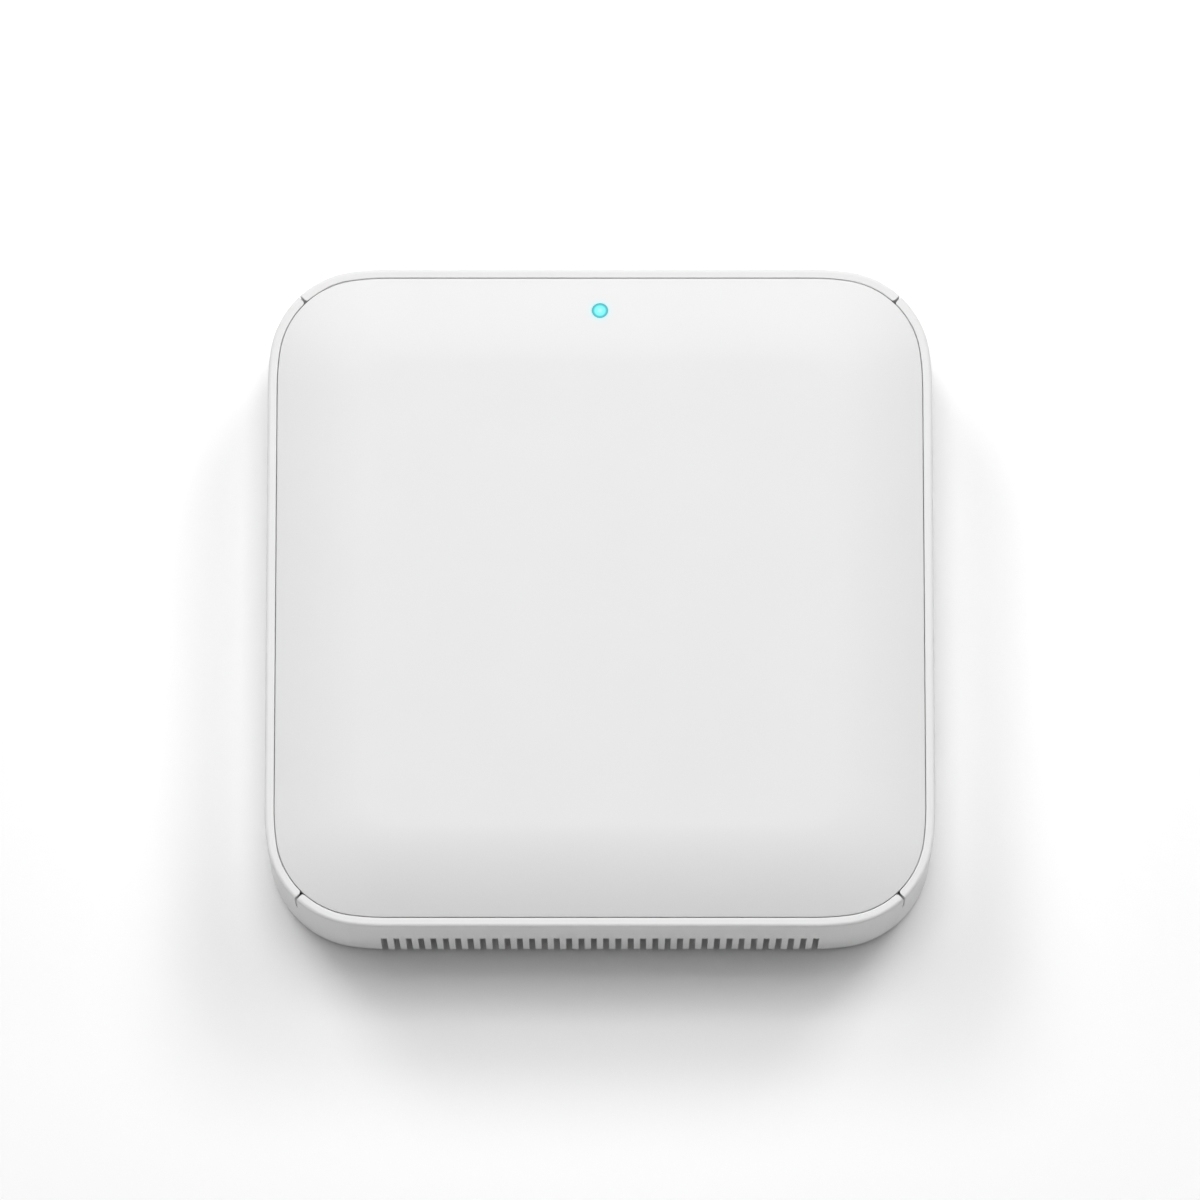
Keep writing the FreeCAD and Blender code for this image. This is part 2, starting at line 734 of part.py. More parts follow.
def make_port_openings(body):
    """Openings in the back wall for the socket, the inlet, the button and the pinhole."""
    inside = f"({INNER_WALL} - {SPARE})"
    depth = f"(Sizes.rim_width + 3 * {SPARE})"
    jack = upright_sketch(body, "jack_opening_outline", inside)
    rectangle(jack, JACK_PLACE, f"({BOARD_TOP} + Sizes.jack_height / 2)",
              "(Sizes.jack_width + 2 * Sizes.port_clearance)",
              "(Sizes.jack_height + 2 * Sizes.port_clearance)")
    pocket(body, "jack_opening", jack, depth)
    inlet = upright_sketch(body, "inlet_opening_outline", inside)
    stadium(inlet, INLET_PLACE, INLET_AXIS, "(Sizes.inlet_width + 2 * Sizes.inlet_clearance)",
            "(Sizes.inlet_height + 2 * Sizes.inlet_clearance)")
    pocket(body, "inlet_opening", inlet, depth)
    switches = upright_sketch(body, "switch_openings_outline", inside)
    circle(switches, PAIR_PLACE, SWITCH_AXIS, "(Sizes.button_diameter + 2 * Sizes.button_clearance)")
    circle(switches, RESET_PLACE, SWITCH_AXIS, "Sizes.pinhole_diameter")
    pocket(body, "switch_openings", switches, depth)


def make_housing():
    body = new_body("housing")
    make_wall(body)
    make_hollow(body)
    make_bosses(body)
    make_vents(body)
    make_slits(body)
    make_port_openings(body)


def cover_outline(sketch, step):
    """The cover's outline at a step of the crown, partly set in and partly scaled.

    An inset alone would leave no radius at the corners, and a scale alone would
    make the crown's band wider there than along the sides.
    """
    depth = f"(Sizes.crown_band * (1 - {step}))"
    inset = f"(Sizes.crown_inset_share * {depth})"
    outline(sketch, f"({COVER_INSET} + {inset})", f"(({COVER_HALF} - {depth}) / ({COVER_HALF} - {inset}))")


def crown_sections(body, name, first_step, drop):
    """Outlines that climb the crown, from a step out to its inner side."""
    sections = []
    for index in range(CROWN_STEPS):
        step = f"({first_step} * {1 - index / (CROWN_STEPS - 1)})"
        height = f"{RIM_TOP} + Sizes.cover_crown * (1 - {step} ^ Sizes.crown_power) - {drop}"
        section = flat_sketch(body, f"{name}_{index}", height)
        cover_outline(section, step)
        sections.append(section)
    return sections


def make_snaps(body):
    """Eight snap arms that reach through the ledge and hook under it."""
    root = f"({INNER_WALL} - Sizes.ledge_width - Sizes.snap_clearance)"
    back = f"({root} - Sizes.snap_thickness)"
    tip = f"({root} + Sizes.snap_hook)"
    hook_top = f"({LEDGE_FLOOR} - Sizes.snap_clearance)"
    low = f"({LEDGE_TOP} - Sizes.snap_drop)"
    arms = []
    for side in (-1, 1):
        start = f"({side} * Sizes.snap_spread - Sizes.snap_width / 2)"
        sketch = side_sketch(body, "snap_profile", start)
        polygon(sketch, [(root, LEDGE_TOP), (back, LEDGE_TOP), (back, low), (root, low),
                         (tip, f"({hook_top} - Sizes.snap_lip)"), (tip, hook_top), (root, hook_top)])
        arms.append(pad(body, "snap", sketch, "Sizes.snap_width"))
    turn_copies(body, "snaps", arms, 4)


def make_top_cover():
    body = new_body("top_cover")
    edge = flat_sketch(body, "cover_outline", LEDGE_TOP)
    outline(edge, COVER_INSET)
    pad(body, "cover_edge", edge, "Sizes.cover_edge")
    loft(body, "crown", crown_sections(body, "crown_section", "1", "0"))
    round_edges(body, "crown_edge", "Sizes.seam_round", lambda edge: is_level(edge, RIM_TOP))
    inner_step = "(1 - Sizes.flange_width / Sizes.crown_band)"
    inner_rise = f"(Sizes.cover_crown * (1 - {inner_step} ^ Sizes.crown_power))"
    inner_height = f"(Sizes.cover_edge + {inner_rise} - Sizes.cover_wall)"
    hollow = flat_sketch(body, "hollow_outline", LEDGE_TOP)
    cover_outline(hollow, inner_step)
    pocket(body, "hollow", hollow, inner_height, reverse=True)
    sections = crown_sections(body, "hollow_section", inner_step, "Sizes.cover_wall")
    loft(body, "crown_hollow", sections, cut=True)
    make_snaps(body)
    boss_floor = f"({LEDGE_TOP} - Sizes.light_boss_drop + Sizes.cover_edge)"
    boss_height = f"({LIGHT_TOP} - Sizes.cover_wall / 2 - {boss_floor})"
    rounds(body, "light_boss", [("0", LIGHT_PLACE)], "Sizes.light_boss", boss_floor, boss_height)
    bores(body, "light_bore", [("0", LIGHT_PLACE)], "(Sizes.light_diameter + 2 * Sizes.light_fit)",
          f"({boss_floor} - {SPARE})", f"({COVER_TOP} - {boss_floor} + 2 * {SPARE})")


def keyhole_places():
    return [f"({side} * Sizes.keyhole_spacing / 2)" for side in (-1, 1)]


def make_keyholes(body):
    """Two blind keyholes for wall screws: a round entry with a slot towards -Y."""
    inner = "(Sizes.keyhole_entry + 2 * Sizes.keyhole_room)"
    outer = f"({inner} + 2 * Sizes.keyhole_wall)"
    reach = "Sizes.keyhole_travel"
    housing = flat_sketch(body, "keyhole_block_outline", BASE_TOP)
    room = flat_sketch(body, "keyhole_room_outline", BASE_TOP)
    entry = flat_sketch(body, "keyhole_entry_outline", BASE_TOP)
    slot = flat_sketch(body, "keyhole_slot_outline", BASE_TOP)
    for across in keyhole_places():
        rectangle(housing, across, f"(-{reach} / 2)", outer, f"({outer} + {reach})")
        rectangle(room, across, f"(-{reach} / 2)", inner, f"({inner} + {reach})")
        circle(entry, across, "0", "Sizes.keyhole_entry")
        rectangle(slot, across, f"(-{reach} / 2)", "Sizes.keyhole_slot", reach)
    pad(body, "keyhole_blocks", housing, "Sizes.keyhole_pocket + Sizes.keyhole_wall")
    pocket(body, "keyhole_rooms", room, "Sizes.keyhole_pocket", reverse=True)
    pocket(body, "keyhole_entries", entry, "Sizes.base_thickness")
    pocket(body, "keyhole_slots", slot, "Sizes.base_thickness")


def make_base_plate():
    body = new_body("base_plate")
    plate = flat_sketch(body, "plate_outline", "Sizes.floor_gap")
    outline(plate, "(Sizes.rim_width + Sizes.base_clearance)")
    pad(body, "plate", plate, "Sizes.base_thickness")
    bosses = corner_places(BOSS_PLACE, BOSS_PLACE)
    rounds(body, "cups", bosses, "Sizes.cup_diameter", BASE_TOP, "Sizes.cup_height")
    rounds(body, "standoffs", board_screw_places(), "Sizes.standoff_diameter", BASE_TOP, "Sizes.board_lift")
    bores(body, "head_bores", bosses, "(Sizes.screw_head + 2 * Sizes.screw_clearance)",
          "Sizes.floor_gap", f"{HEAD_TOP} - Sizes.floor_gap")
    bores(body, "shank_bores", bosses, "(Sizes.screw_shank + Sizes.screw_clearance)",
          "Sizes.floor_gap", f"{CUP_TOP} - Sizes.floor_gap")
    bores(body, "standoff_bores", board_screw_places(),
          "(Sizes.board_screw_shank + 2 * Sizes.thread_clearance)", BASE_TOP, "Sizes.board_lift")
    bores(body, "foot_recesses", corner_places(FOOT_PLACE, FOOT_PLACE),
          "(Sizes.foot_diameter + 2 * Sizes.foot_clearance)", "Sizes.floor_gap", "Sizes.foot_recess")
    label = flat_sketch(body, "label_recess_outline", "Sizes.floor_gap")
    rectangle(label, "0", "Sizes.label_offset", "(Sizes.label_width + 2 * Sizes.label_margin)",
              "(Sizes.label_height + 2 * Sizes.label_margin)")
    pocket(body, "label_recess", label, "Sizes.label_recess", reverse=True)
    make_keyholes(body)
    vents = flat_sketch(body, "base_vent_outline", BASE_TOP)
    first = "(-Sizes.base_vent_pitch * (Sizes.base_vent_count - 1) / 2)"
    rectangle(vents, first, "(-Sizes.base_vent_offset)", "Sizes.base_vent_width", "Sizes.base_vent_length")
    vent = pocket(body, "base_vent", vents, "Sizes.base_thickness")
    row_copies(body, "base_vents", [vent], "X_Axis", "Sizes.base_vent_pitch", "Sizes.base_vent_count")


def make_screws(label, places, head, head_height, shank, length, seat, head_up):
    """Pan head screws with a cross recess; the seat is where the head meets its part."""
    body = new_body(label, several=True)
    head_floor = seat if head_up else f"({seat} - {head_height})"
    shank_floor = f"({seat} - {length})" if head_up else seat
    rounds(body, f"{label}_heads", places, head, head_floor, head_height)
    crown = f"({seat} + {head_height})" if head_up else head_floor
    round_edges(body, f"{label}_crowns", "Sizes.screw_crown", lambda edge: is_level(edge, crown))
    rounds(body, f"{label}_shanks", places, shank, shank_floor, length)
    tip = shank_floor if head_up else f"({seat} + {length})"
    bevel_edges(body, f"{label}_tips", "Sizes.screw_bevel", lambda edge: is_level(edge, tip))
    recess = flat_sketch(body, f"{label}_recess_outline", crown)
    for across, along in places:
        polygon(recess, cross_points(across, along, "Sizes.cross_arm", "Sizes.cross_web"))
    pocket(body, f"{label}_recess", recess, "Sizes.cross_depth", reverse=not head_up)


def cross_points(across, along, arm, web):
    """The twelve corners of a cross about a middle point."""
    steps = [(arm, web, 1, -1), (arm, web, 1, 1), (web, web, 1, 1), (web, arm, 1, 1),
             (web, arm, -1, 1), (web, web, -1, 1), (arm, web, -1, 1), (arm, web, -1, -1),
             (web, web, -1, -1), (web, arm, -1, -1), (web, arm, 1, -1), (web, web, 1, -1)]
    return [(f"{across} + {i} * {x}", f"{along} + {j} * {y}") for x, y, i, j in steps]


def make_base_screws():
    make_screws("base_screws", corner_places(BOSS_PLACE, BOSS_PLACE), "Sizes.screw_head",
                "Sizes.screw_head_height", "Sizes.screw_shank", "Sizes.screw_length", HEAD_TOP, False)


def make_board_screws():
    make_screws("board_screws", board_screw_places(), "Sizes.board_screw_head",
                "Sizes.board_screw_head_height", "Sizes.board_screw_shank", "Sizes.board_screw_length",
                BOARD_TOP, True)


def make_rubber_feet():
    body = new_body("rubber_feet", several=True)
    rounds(body, "feet", corner_places(FOOT_PLACE, FOOT_PLACE), "Sizes.foot_diameter", "0",
           "(Sizes.floor_gap + Sizes.foot_recess)")
    round_edges(body, "feet_round", "Sizes.foot_round", lambda edge: is_level(edge, "0"))


def make_rating_label():
    body = new_body("rating_label")
    top = "(Sizes.floor_gap + Sizes.label_recess)"
    block(body, "label", "0", "Sizes.label_offset", "Sizes.label_width", "Sizes.label_height",
          f"({top} - Sizes.label_thickness)", "Sizes.label_thickness")
    round_edges(body, "label_corners", "Sizes.board_corner", is_upright)


def make_main_board():
    body = new_body("main_board")
    deep = f"({BOARD_BACK} - {BOARD_FRONT})"
    middle = f"(({BOARD_BACK} + {BOARD_FRONT}) / 2)"
    block(body, "board", "0", middle, f"(2 * {BOARD_SIDE})", deep, BOARD_FLOOR, "Sizes.board_thickness")
    round_edges(body, "board_corners", "Sizes.board_corner", is_upright)
    bores(body, "board_bores", board_screw_places(), "(Sizes.board_screw_shank + Sizes.screw_clearance)",
          BOARD_FLOOR, "Sizes.board_thickness")


def make_light_pipe():
    """A clear rod from the lamp to the cover, cut to the slope of the cover's crown."""
    body = new_body("light_pipe")
    foot = f"({BOARD_TOP} + Sizes.lamp_height + Sizes.lamp_gap)"
    rounds(body, "rod", [("0", LIGHT_PLACE)], "Sizes.light_diameter", foot, f"({COVER_TOP} - {foot})")
    collar_floor = f"({BOARD_TOP} + Sizes.sleeve_height)"
    rounds(body, "collar", [("0", LIGHT_PLACE)], "Sizes.collar_diameter", collar_floor, "Sizes.collar_height")
    cut = side_sketch(body, "slope_outline", "(-Sizes.light_diameter)")
    reach = "Sizes.light_diameter"
    polygon(cut, [
        (f"{LIGHT_PLACE} - {reach}", f"{LIGHT_TOP} + {LIGHT_SLOPE} * {reach}"),
        (f"{LIGHT_PLACE} + {reach}", f"{LIGHT_TOP} - {LIGHT_SLOPE} * {reach}"),
        (f"{LIGHT_PLACE} + {reach}", f"{COVER_TOP} + {reach}"),
        (f"{LIGHT_PLACE} - {reach}", f"{COVER_TOP} + {reach}"),
    ])
    pocket(body, "slope", cut, "2 * Sizes.light_diameter", reverse=True)


def make_status_led():
    body = new_body("status_led")
    block(body, "lamp", "0", LIGHT_PLACE, "Sizes.lamp_width", "Sizes.lamp_depth", BOARD_TOP,
          "Sizes.lamp_height")


def make_light_shield():
    """The rubber sleeve that joins the lamp to the light pipe's foot."""
    body = new_body("light_shield")
    place = [("0", LIGHT_PLACE)]
    rounds(body, "sleeve", place, "Sizes.sleeve_diameter", BOARD_TOP, "Sizes.sleeve_height")
    bores(body, "sleeve_room", place, "Sizes.sleeve_bore", BOARD_TOP, "Sizes.lamp_height + Sizes.lamp_gap")
    bores(body, "sleeve_neck", place, "(Sizes.light_diameter + 2 * Sizes.light_fit)", BOARD_TOP,
          "Sizes.sleeve_height")


def make_ethernet_jack_shell():
    """A metal can with top, sides and back, open at the front and over the board."""
    body = new_body("ethernet_jack_shell")
    outer = upright_sketch(body, "shell_outline", PORT_FRONT)
    rectangle(outer, JACK_PLACE, f"({BOARD_TOP} + Sizes.jack_height / 2)", "Sizes.jack_width",
              "Sizes.jack_height")
    pad(body, "shell", outer, "Sizes.jack_length")
    inner = upright_sketch(body, "shell_room_outline", PORT_FRONT)
    rectangle(inner, JACK_PLACE, f"({BOARD_TOP} + (Sizes.jack_height - Sizes.jack_skin - {SPARE}) / 2)",
              "(Sizes.jack_width - 2 * Sizes.jack_skin)",
              f"(Sizes.jack_height - Sizes.jack_skin + {SPARE})")
    pocket(body, "shell_room", inner, "Sizes.jack_length - Sizes.jack_skin", reverse=True)


def make_ethernet_jack_insert():
    """The plastic body of the socket, with the plug's mouth and its latch channel."""
    body = new_body("ethernet_jack_insert")
    top = "(Sizes.jack_height - Sizes.jack_skin - Sizes.jack_fit)"
    front = upright_sketch(body, "insert_outline", PORT_FRONT)
    rectangle(front, JACK_PLACE, f"({BOARD_TOP} + {top} / 2)",
              "(Sizes.jack_width - 2 * Sizes.jack_skin - 2 * Sizes.jack_fit)", top)
    pad(body, "insert", front, "Sizes.jack_length - Sizes.jack_skin - Sizes.jack_fit")
    mouth = upright_sketch(body, "mouth_outline", PORT_FRONT)
    low = f"({BOARD_TOP} + Sizes.latch_floor)"
    step = f"({low} + Sizes.latch_height)"
    ceiling = f"({step} + Sizes.plug_height)"
    wide = "Sizes.plug_width / 2"
    slim = "Sizes.latch_width / 2"
    polygon(mouth, [
        (f"{JACK_PLACE} - {slim}", low), (f"{JACK_PLACE} + {slim}", low),
        (f"{JACK_PLACE} + {slim}", step), (f"{JACK_PLACE} + {wide}", step),
        (f"{JACK_PLACE} + {wide}", ceiling), (f"{JACK_PLACE} - {wide}", ceiling),
        (f"{JACK_PLACE} - {wide}", step), (f"{JACK_PLACE} - {slim}", step),
    ])
    pocket(body, "mouth", mouth, "Sizes.plug_depth", reverse=True)


def make_ethernet_contacts():
    """Eight spring contacts that hang from the ceiling of the socket's mouth."""
    body = new_body("ethernet_contacts", several=True)
    ceiling = f"({BOARD_TOP} + Sizes.latch_floor + Sizes.latch_height + Sizes.plug_height)"
    front = f"({PORT_FRONT} - Sizes.contact_from_front)"
    back = f"({front} - Sizes.contact_reach)"
    low = f"({ceiling} - Sizes.contact_drop)"
    first = f"({JACK_PLACE} - Sizes.contact_pitch * (Sizes.contact_count - 1) / 2 - Sizes.contact_width / 2)"
    profile = side_sketch(body, "contact_profile", first)
    polygon(profile, [
        (front, ceiling), (f"{front} - Sizes.contact_root", ceiling),
        (back, f"{low} + Sizes.contact_thickness"), (back, low), (f"{back} + Sizes.contact_thickness", low),
    ])
    contact = pad(body, "contact", profile, "Sizes.contact_width")
    row_copies(body, "contacts", [contact], "X_Axis", "Sizes.contact_pitch", "Sizes.contact_count")


def make_ethernet_transformer():
    body = new_body("ethernet_transformer")
    along = f"({PORT_FRONT} - Sizes.jack_length - Sizes.transformer_gap - Sizes.transformer_depth / 2)"
    block(body, "transformer", JACK_PLACE, along, "Sizes.transformer_width", "Sizes.transformer_depth",
          BOARD_TOP, "Sizes.transformer_height")
    bevel_edges(body, "transformer_edges", "Sizes.chip_bevel",
                lambda edge: is_level(edge, f"({BOARD_TOP} + Sizes.transformer_height)"))


def make_usb_c_shell():
    body = new_body("usb_c_shell")
    outer = upright_sketch(body, "inlet_outline", PORT_FRONT)
    stadium(outer, INLET_PLACE, INLET_AXIS, "Sizes.inlet_width", "Sizes.inlet_height")
    pad(body, "inlet", outer, "Sizes.inlet_length")
    inner = upright_sketch(body, "inlet_room_outline", PORT_FRONT)
    stadium(inner, INLET_PLACE, INLET_AXIS, "(Sizes.inlet_width - 2 * Sizes.inlet_skin)",
            "(Sizes.inlet_height - 2 * Sizes.inlet_skin)")
    pocket(body, "inlet_room", inner, "Sizes.inlet_length - Sizes.inlet_skin", reverse=True)


def make_usb_c_tongue():
    """The inlet's plastic root, with the flat tongue that carries the contacts."""
    body = new_body("usb_c_tongue")
    rear = f"({PORT_FRONT} - Sizes.inlet_length + Sizes.inlet_skin)"
    root = upright_sketch(body, "root_outline", rear)
    stadium(root, INLET_PLACE, INLET_AXIS,
            "(Sizes.inlet_width - 2 * Sizes.inlet_skin - 2 * Sizes.tongue_fit)",
            "(Sizes.inlet_height - 2 * Sizes.inlet_skin - 2 * Sizes.tongue_fit)")
    pad(body, "root", root, "Sizes.tongue_root", reverse=True)
    tongue = upright_sketch(body, "tongue_outline", rear)
    rectangle(tongue, INLET_PLACE, INLET_AXIS, "Sizes.tongue_width", "Sizes.tongue_thickness")
    pad(body, "tongue", tongue, "Sizes.tongue_root + Sizes.tongue_length", reverse=True)


def make_switch(label, across):
    """A tact switch that lies on its back edge of the board, with its plunger towards +Y."""
    body = new_body(f"{label}_switch_body")
    front = upright_sketch(body, f"{label}_switch_outline", SWITCH_FRONT)
    rectangle(front, across, SWITCH_AXIS, "Sizes.switch_width", "(2 * Sizes.switch_axis)")
    pad(body, f"{label}_switch", front, "Sizes.switch_depth")
    bore = upright_sketch(body, f"{label}_bore_outline", SWITCH_FRONT)
    circle(bore, across, SWITCH_AXIS, "(Sizes.plunger_diameter + 2 * Sizes.plunger_fit)")
    pocket(body, f"{label}_bore", bore, "Sizes.plunger_root + Sizes.plunger_room", reverse=True)
    plunger = new_body(f"{label}_switch_plunger")
    tip = upright_sketch(plunger, f"{label}_plunger_outline", PLUNGER_TIP)
    circle(tip, across, SWITCH_AXIS, "Sizes.plunger_diameter")
    pad(plunger, f"{label}_plunger", tip, "Sizes.plunger_reach + Sizes.plunger_root")


def make_pair_button():
    """The push button: its cap in the back wall, its flange inside and its stem to the switch."""
    body = new_body("pair_button")
    outer_wall = f"({HALF} + ({RIM_TOP} - {SWITCH_AXIS}) * tan(Sizes.wall_draft))"
    face = f"({outer_wall} + Sizes.button_proud)"
    flange_front = f"({INNER_WALL} - Sizes.button_clearance)"
    cap = upright_sketch(body, "cap_outline", face)
    circle(cap, PAIR_PLACE, SWITCH_AXIS, "Sizes.button_diameter")
    pad(body, "cap", cap, f"{face} - {flange_front}")
    round_edges(body, "cap_round", "Sizes.foot_round",
                lambda edge: abs(edge.BoundBox.YMin - value(face)) < 0.001)
    flange = upright_sketch(body, "flange_outline", flange_front)
    circle(flange, PAIR_PLACE, SWITCH_AXIS, "Sizes.button_flange")
    pad(body, "flange", flange, "Sizes.button_flange_thickness")
    stem = upright_sketch(body, "stem_outline", flange_front)
    circle(stem, PAIR_PLACE, SWITCH_AXIS, "Sizes.button_stem")
    pad(body, "stem", stem, f"{flange_front} - {PLUNGER_TIP}")


def make_processor():
    body = new_body("processor")
    block(body, "chip", "0", CHIP_PLACE, "Sizes.processor_width", "Sizes.processor_width", BOARD_TOP,
          "Sizes.processor_height")


def make_thermal_pad():
    body = new_body("thermal_pad")
    block(body, "soft_pad", "0", CHIP_PLACE, "Sizes.processor_width", "Sizes.processor_width", PAD_FLOOR,
          "Sizes.pad_thickness")


def make_heat_spreader():
    """The finned heat sink that lies on the thermal pad."""
    body = new_body("heat_spreader")
    block(body, "sink", "0", CHIP_PLACE, "Sizes.sink_width", "Sizes.sink_width", SINK_FLOOR,
          "Sizes.sink_base")
    first = "((Sizes.fin_thickness - Sizes.sink_width) / 2)"
    fin = block(body, "fin", first, CHIP_PLACE, "Sizes.fin_thickness", "Sizes.sink_width",
                f"({SINK_FLOOR} + Sizes.sink_base)", "Sizes.sink_height - Sizes.sink_base")
    pitch = "(Sizes.sink_width - Sizes.fin_thickness) / (Sizes.fin_count - 1)"
    row_copies(body, "fins", [fin], "X_Axis", pitch, "Sizes.fin_count")


def make_memory_chips():
    body = new_body("memory_chips", several=True)
    across = f"(Sizes.memory_from_edge + Sizes.memory_width / 2 - {BOARD_SIDE})"
    sketch = flat_sketch(body, "memory_outline", BOARD_TOP)
    for step in (0, 1):
        along = f"({BOARD_FRONT} + Sizes.memory_from_front + {step} * Sizes.memory_pitch)"
        rectangle(sketch, across, along, "Sizes.memory_width", "Sizes.memory_depth")
    pad(body, "memory", sketch, "Sizes.memory_height")


def make_flash_chip():
    body = new_body("flash_chip")
    across = f"(Sizes.memory_from_edge + Sizes.flash_width / 2 - {BOARD_SIDE})"
    block(body, "flash", across, f"({BOARD_FRONT} + Sizes.flash_from_front)", "Sizes.flash_width",
          "Sizes.flash_depth", BOARD_TOP, "Sizes.memory_height")


def make_can(label, across, along, wide, deep, floor, height):
    """A thin metal can with rounded upright corners, open over what it covers."""
    body = new_body(label)
    block(body, f"{label}_can", across, along, wide, deep, floor, height)
    round_edges(body, f"{label}_corners", "2 * Sizes.can_wall", is_upright)
    sketch = flat_sketch(body, f"{label}_room_outline", floor)
    rectangle(sketch, across, along, f"({wide} - 2 * Sizes.can_wall)", f"({deep} - 2 * Sizes.can_wall)")
    pocket(body, f"{label}_room", sketch, f"{height} - Sizes.can_wall", reverse=True)


def make_wifi_shield():
    across = f"({BOARD_SIDE} - Sizes.wifi_from_edge - Sizes.wifi_width / 2)"
    along = f"({BOARD_BACK} - Sizes.wifi_from_back)"
    make_can("wifi_shield", across, along, "Sizes.wifi_width", "Sizes.wifi_depth", BOARD_TOP,
             "Sizes.wifi_height")


def make_mesh_radio():
    across = f"({BOARD_SIDE} - Sizes.radio_from_edge - Sizes.radio_width / 2)"
    along = f"({BOARD_FRONT} + Sizes.radio_from_front + Sizes.radio_depth / 2)"
    body = new_body("mesh_radio_board")
    block(body, "radio", across, along, "Sizes.radio_width", "Sizes.radio_depth", BOARD_TOP,
          "Sizes.radio_thickness")
    can_along = (f"({along} + (Sizes.radio_depth - Sizes.radio_can_depth) / 2"
                 " - Sizes.radio_can_margin)")
    make_can("mesh_radio_shield", across, can_along, "Sizes.radio_can_width", "Sizes.radio_can_depth",
             f"({BOARD_TOP} + Sizes.radio_thickness)", "Sizes.radio_can_height")


def make_crystal():
    body = new_body("crystal")
    block(body, "crystal_can", "0", f"({CHIP_PLACE} - Sizes.crystal_from_chip)", "Sizes.crystal_width",
          "Sizes.crystal_depth", BOARD_TOP, "Sizes.crystal_height")
    round_edges(body, "crystal_corners", "Sizes.can_wall", is_upright)


def make_power_inductors():
    body = new_body("power_inductors", several=True)
    sketch = flat_sketch(body, "coil_outline", BOARD_TOP)
    for side in (-1, 1):
        rectangle(sketch, f"({SUPPLY_PLACE} + {side} * Sizes.coil_pitch / 2)",
                  f"({BOARD_BACK} - Sizes.coil_from_back)", "Sizes.coil_width", "Sizes.coil_width")
    pad(body, "coils", sketch, "Sizes.coil_height")
    round_edges(body, "coil_corners", "Sizes.coil_round", is_upright)


def make_capacitors():
    body = new_body("capacitors", several=True)
    along = f"({BOARD_BACK} - Sizes.can_from_back)"
    places = [(f"({SUPPLY_PLACE} + {step} * Sizes.can_pitch)", along) for step in (-1, 0, 1)]
    rounds(body, "cans", places, "Sizes.can_diameter", BOARD_TOP, "Sizes.can_height")
    top = f"({BOARD_TOP} + Sizes.can_height)"
    round_edges(body, "can_rounds", "Sizes.foot_round", lambda edge: is_level(edge, top))


def make_antenna(label, side):
    """An antenna plate on the inner side wall."""
    body = new_body(label)
    across = f"({side} * ({INNER_WALL} - Sizes.antenna_thickness / 2))"
    block(body, f"{label}_plate", across, "0", "Sizes.antenna_thickness", "Sizes.antenna_length",
          "Sizes.antenna_lift", "Sizes.antenna_height")


def lead_plug_place(side):
    across = f"({side} * ({BOARD_SIDE} - Sizes.antenna_plug_from_edge))"
    along = f"({BOARD_FRONT} + Sizes.antenna_plug_from_front)"
    return across, along


def make_antenna_lead(label, side):
    """A thin lead in one level plane: straight runs joined by two tangent arcs."""
    body = new_body(label)
    wall = f"({side} * {ANTENNA_FACE})"
    turn = f"({side} * ({ANTENNA_FACE} - Sizes.lead_run))"
    start = "Sizes.lead_start"
    across, end = lead_plug_place(side)
    foot = f"({across} + {side} * Sizes.antenna_plug_barrel)"
    bend = "Sizes.lead_bend"
    path = flat_sketch(body, f"{label}_route", LEAD_LEVEL)
    knots = [
        (wall, start), (f"{turn} + {side} * {bend}", start), (turn, f"{start} - {bend}"),
        (turn, f"{end} + {bend}"), (f"{turn} - {side} * {bend}", end), (foot, end),
    ]
    spots = [Vector(value(x), value(y), 0) for x, y in knots]
    radius = value(bend)
    lean = radius * (1 - math.cos(math.pi / 4))
    first_mid = Vector(value(turn) + side * lean, value(start) - lean, 0)
    second_mid = Vector(value(turn) - side * lean, value(end) + lean, 0)
    path.addGeometry([
        Part.LineSegment(spots[0], spots[1]),
        Part.Arc(spots[1], first_mid, spots[2]),
        Part.LineSegment(spots[2], spots[3]),
        Part.Arc(spots[3], second_mid, spots[4]),
        Part.LineSegment(spots[4], spots[5]),
    ], False)
    # An arc's stored start is its end that comes first anticlockwise.
    first_arc = (1, 2) if side > 0 else (2, 1)
    second_arc = (2, 1) if side > 0 else (1, 2)
    Constraint = Sketcher.Constraint
    path.addConstraint(Constraint("Tangent", 0, 2, 1, first_arc[0]))
    path.addConstraint(Constraint("Tangent", 1, first_arc[1], 2, 1))
    path.addConstraint(Constraint("Tangent", 2, 2, 3, second_arc[0]))
    path.addConstraint(Constraint("Tangent", 3, second_arc[1], 4, 1))
    path.addConstraint(Constraint("Equal", 1, 3))
    bind(path, Constraint("Radius", 1, radius), bend)
    place_point(path, 0, 1, *knots[0])
    place_point(path, 4, 2, *knots[5])
    bind(path, Constraint("DistanceX", -1, 1, 2, 1, value(turn)), turn)
    path.addConstraint(Constraint("Horizontal", 0))
    path.addConstraint(Constraint("Vertical", 2))
    path.addConstraint(Constraint("Horizontal", 4))
    profile = side_sketch(body, f"{label}_profile", wall)
    circle(profile, start, LEAD_LEVEL, "Sizes.lead_diameter")
    pipe = body.newObject("PartDesign::AdditivePipe", f"{label}_tube")
    pipe.Profile = profile
    pipe.Spine = path
    return path


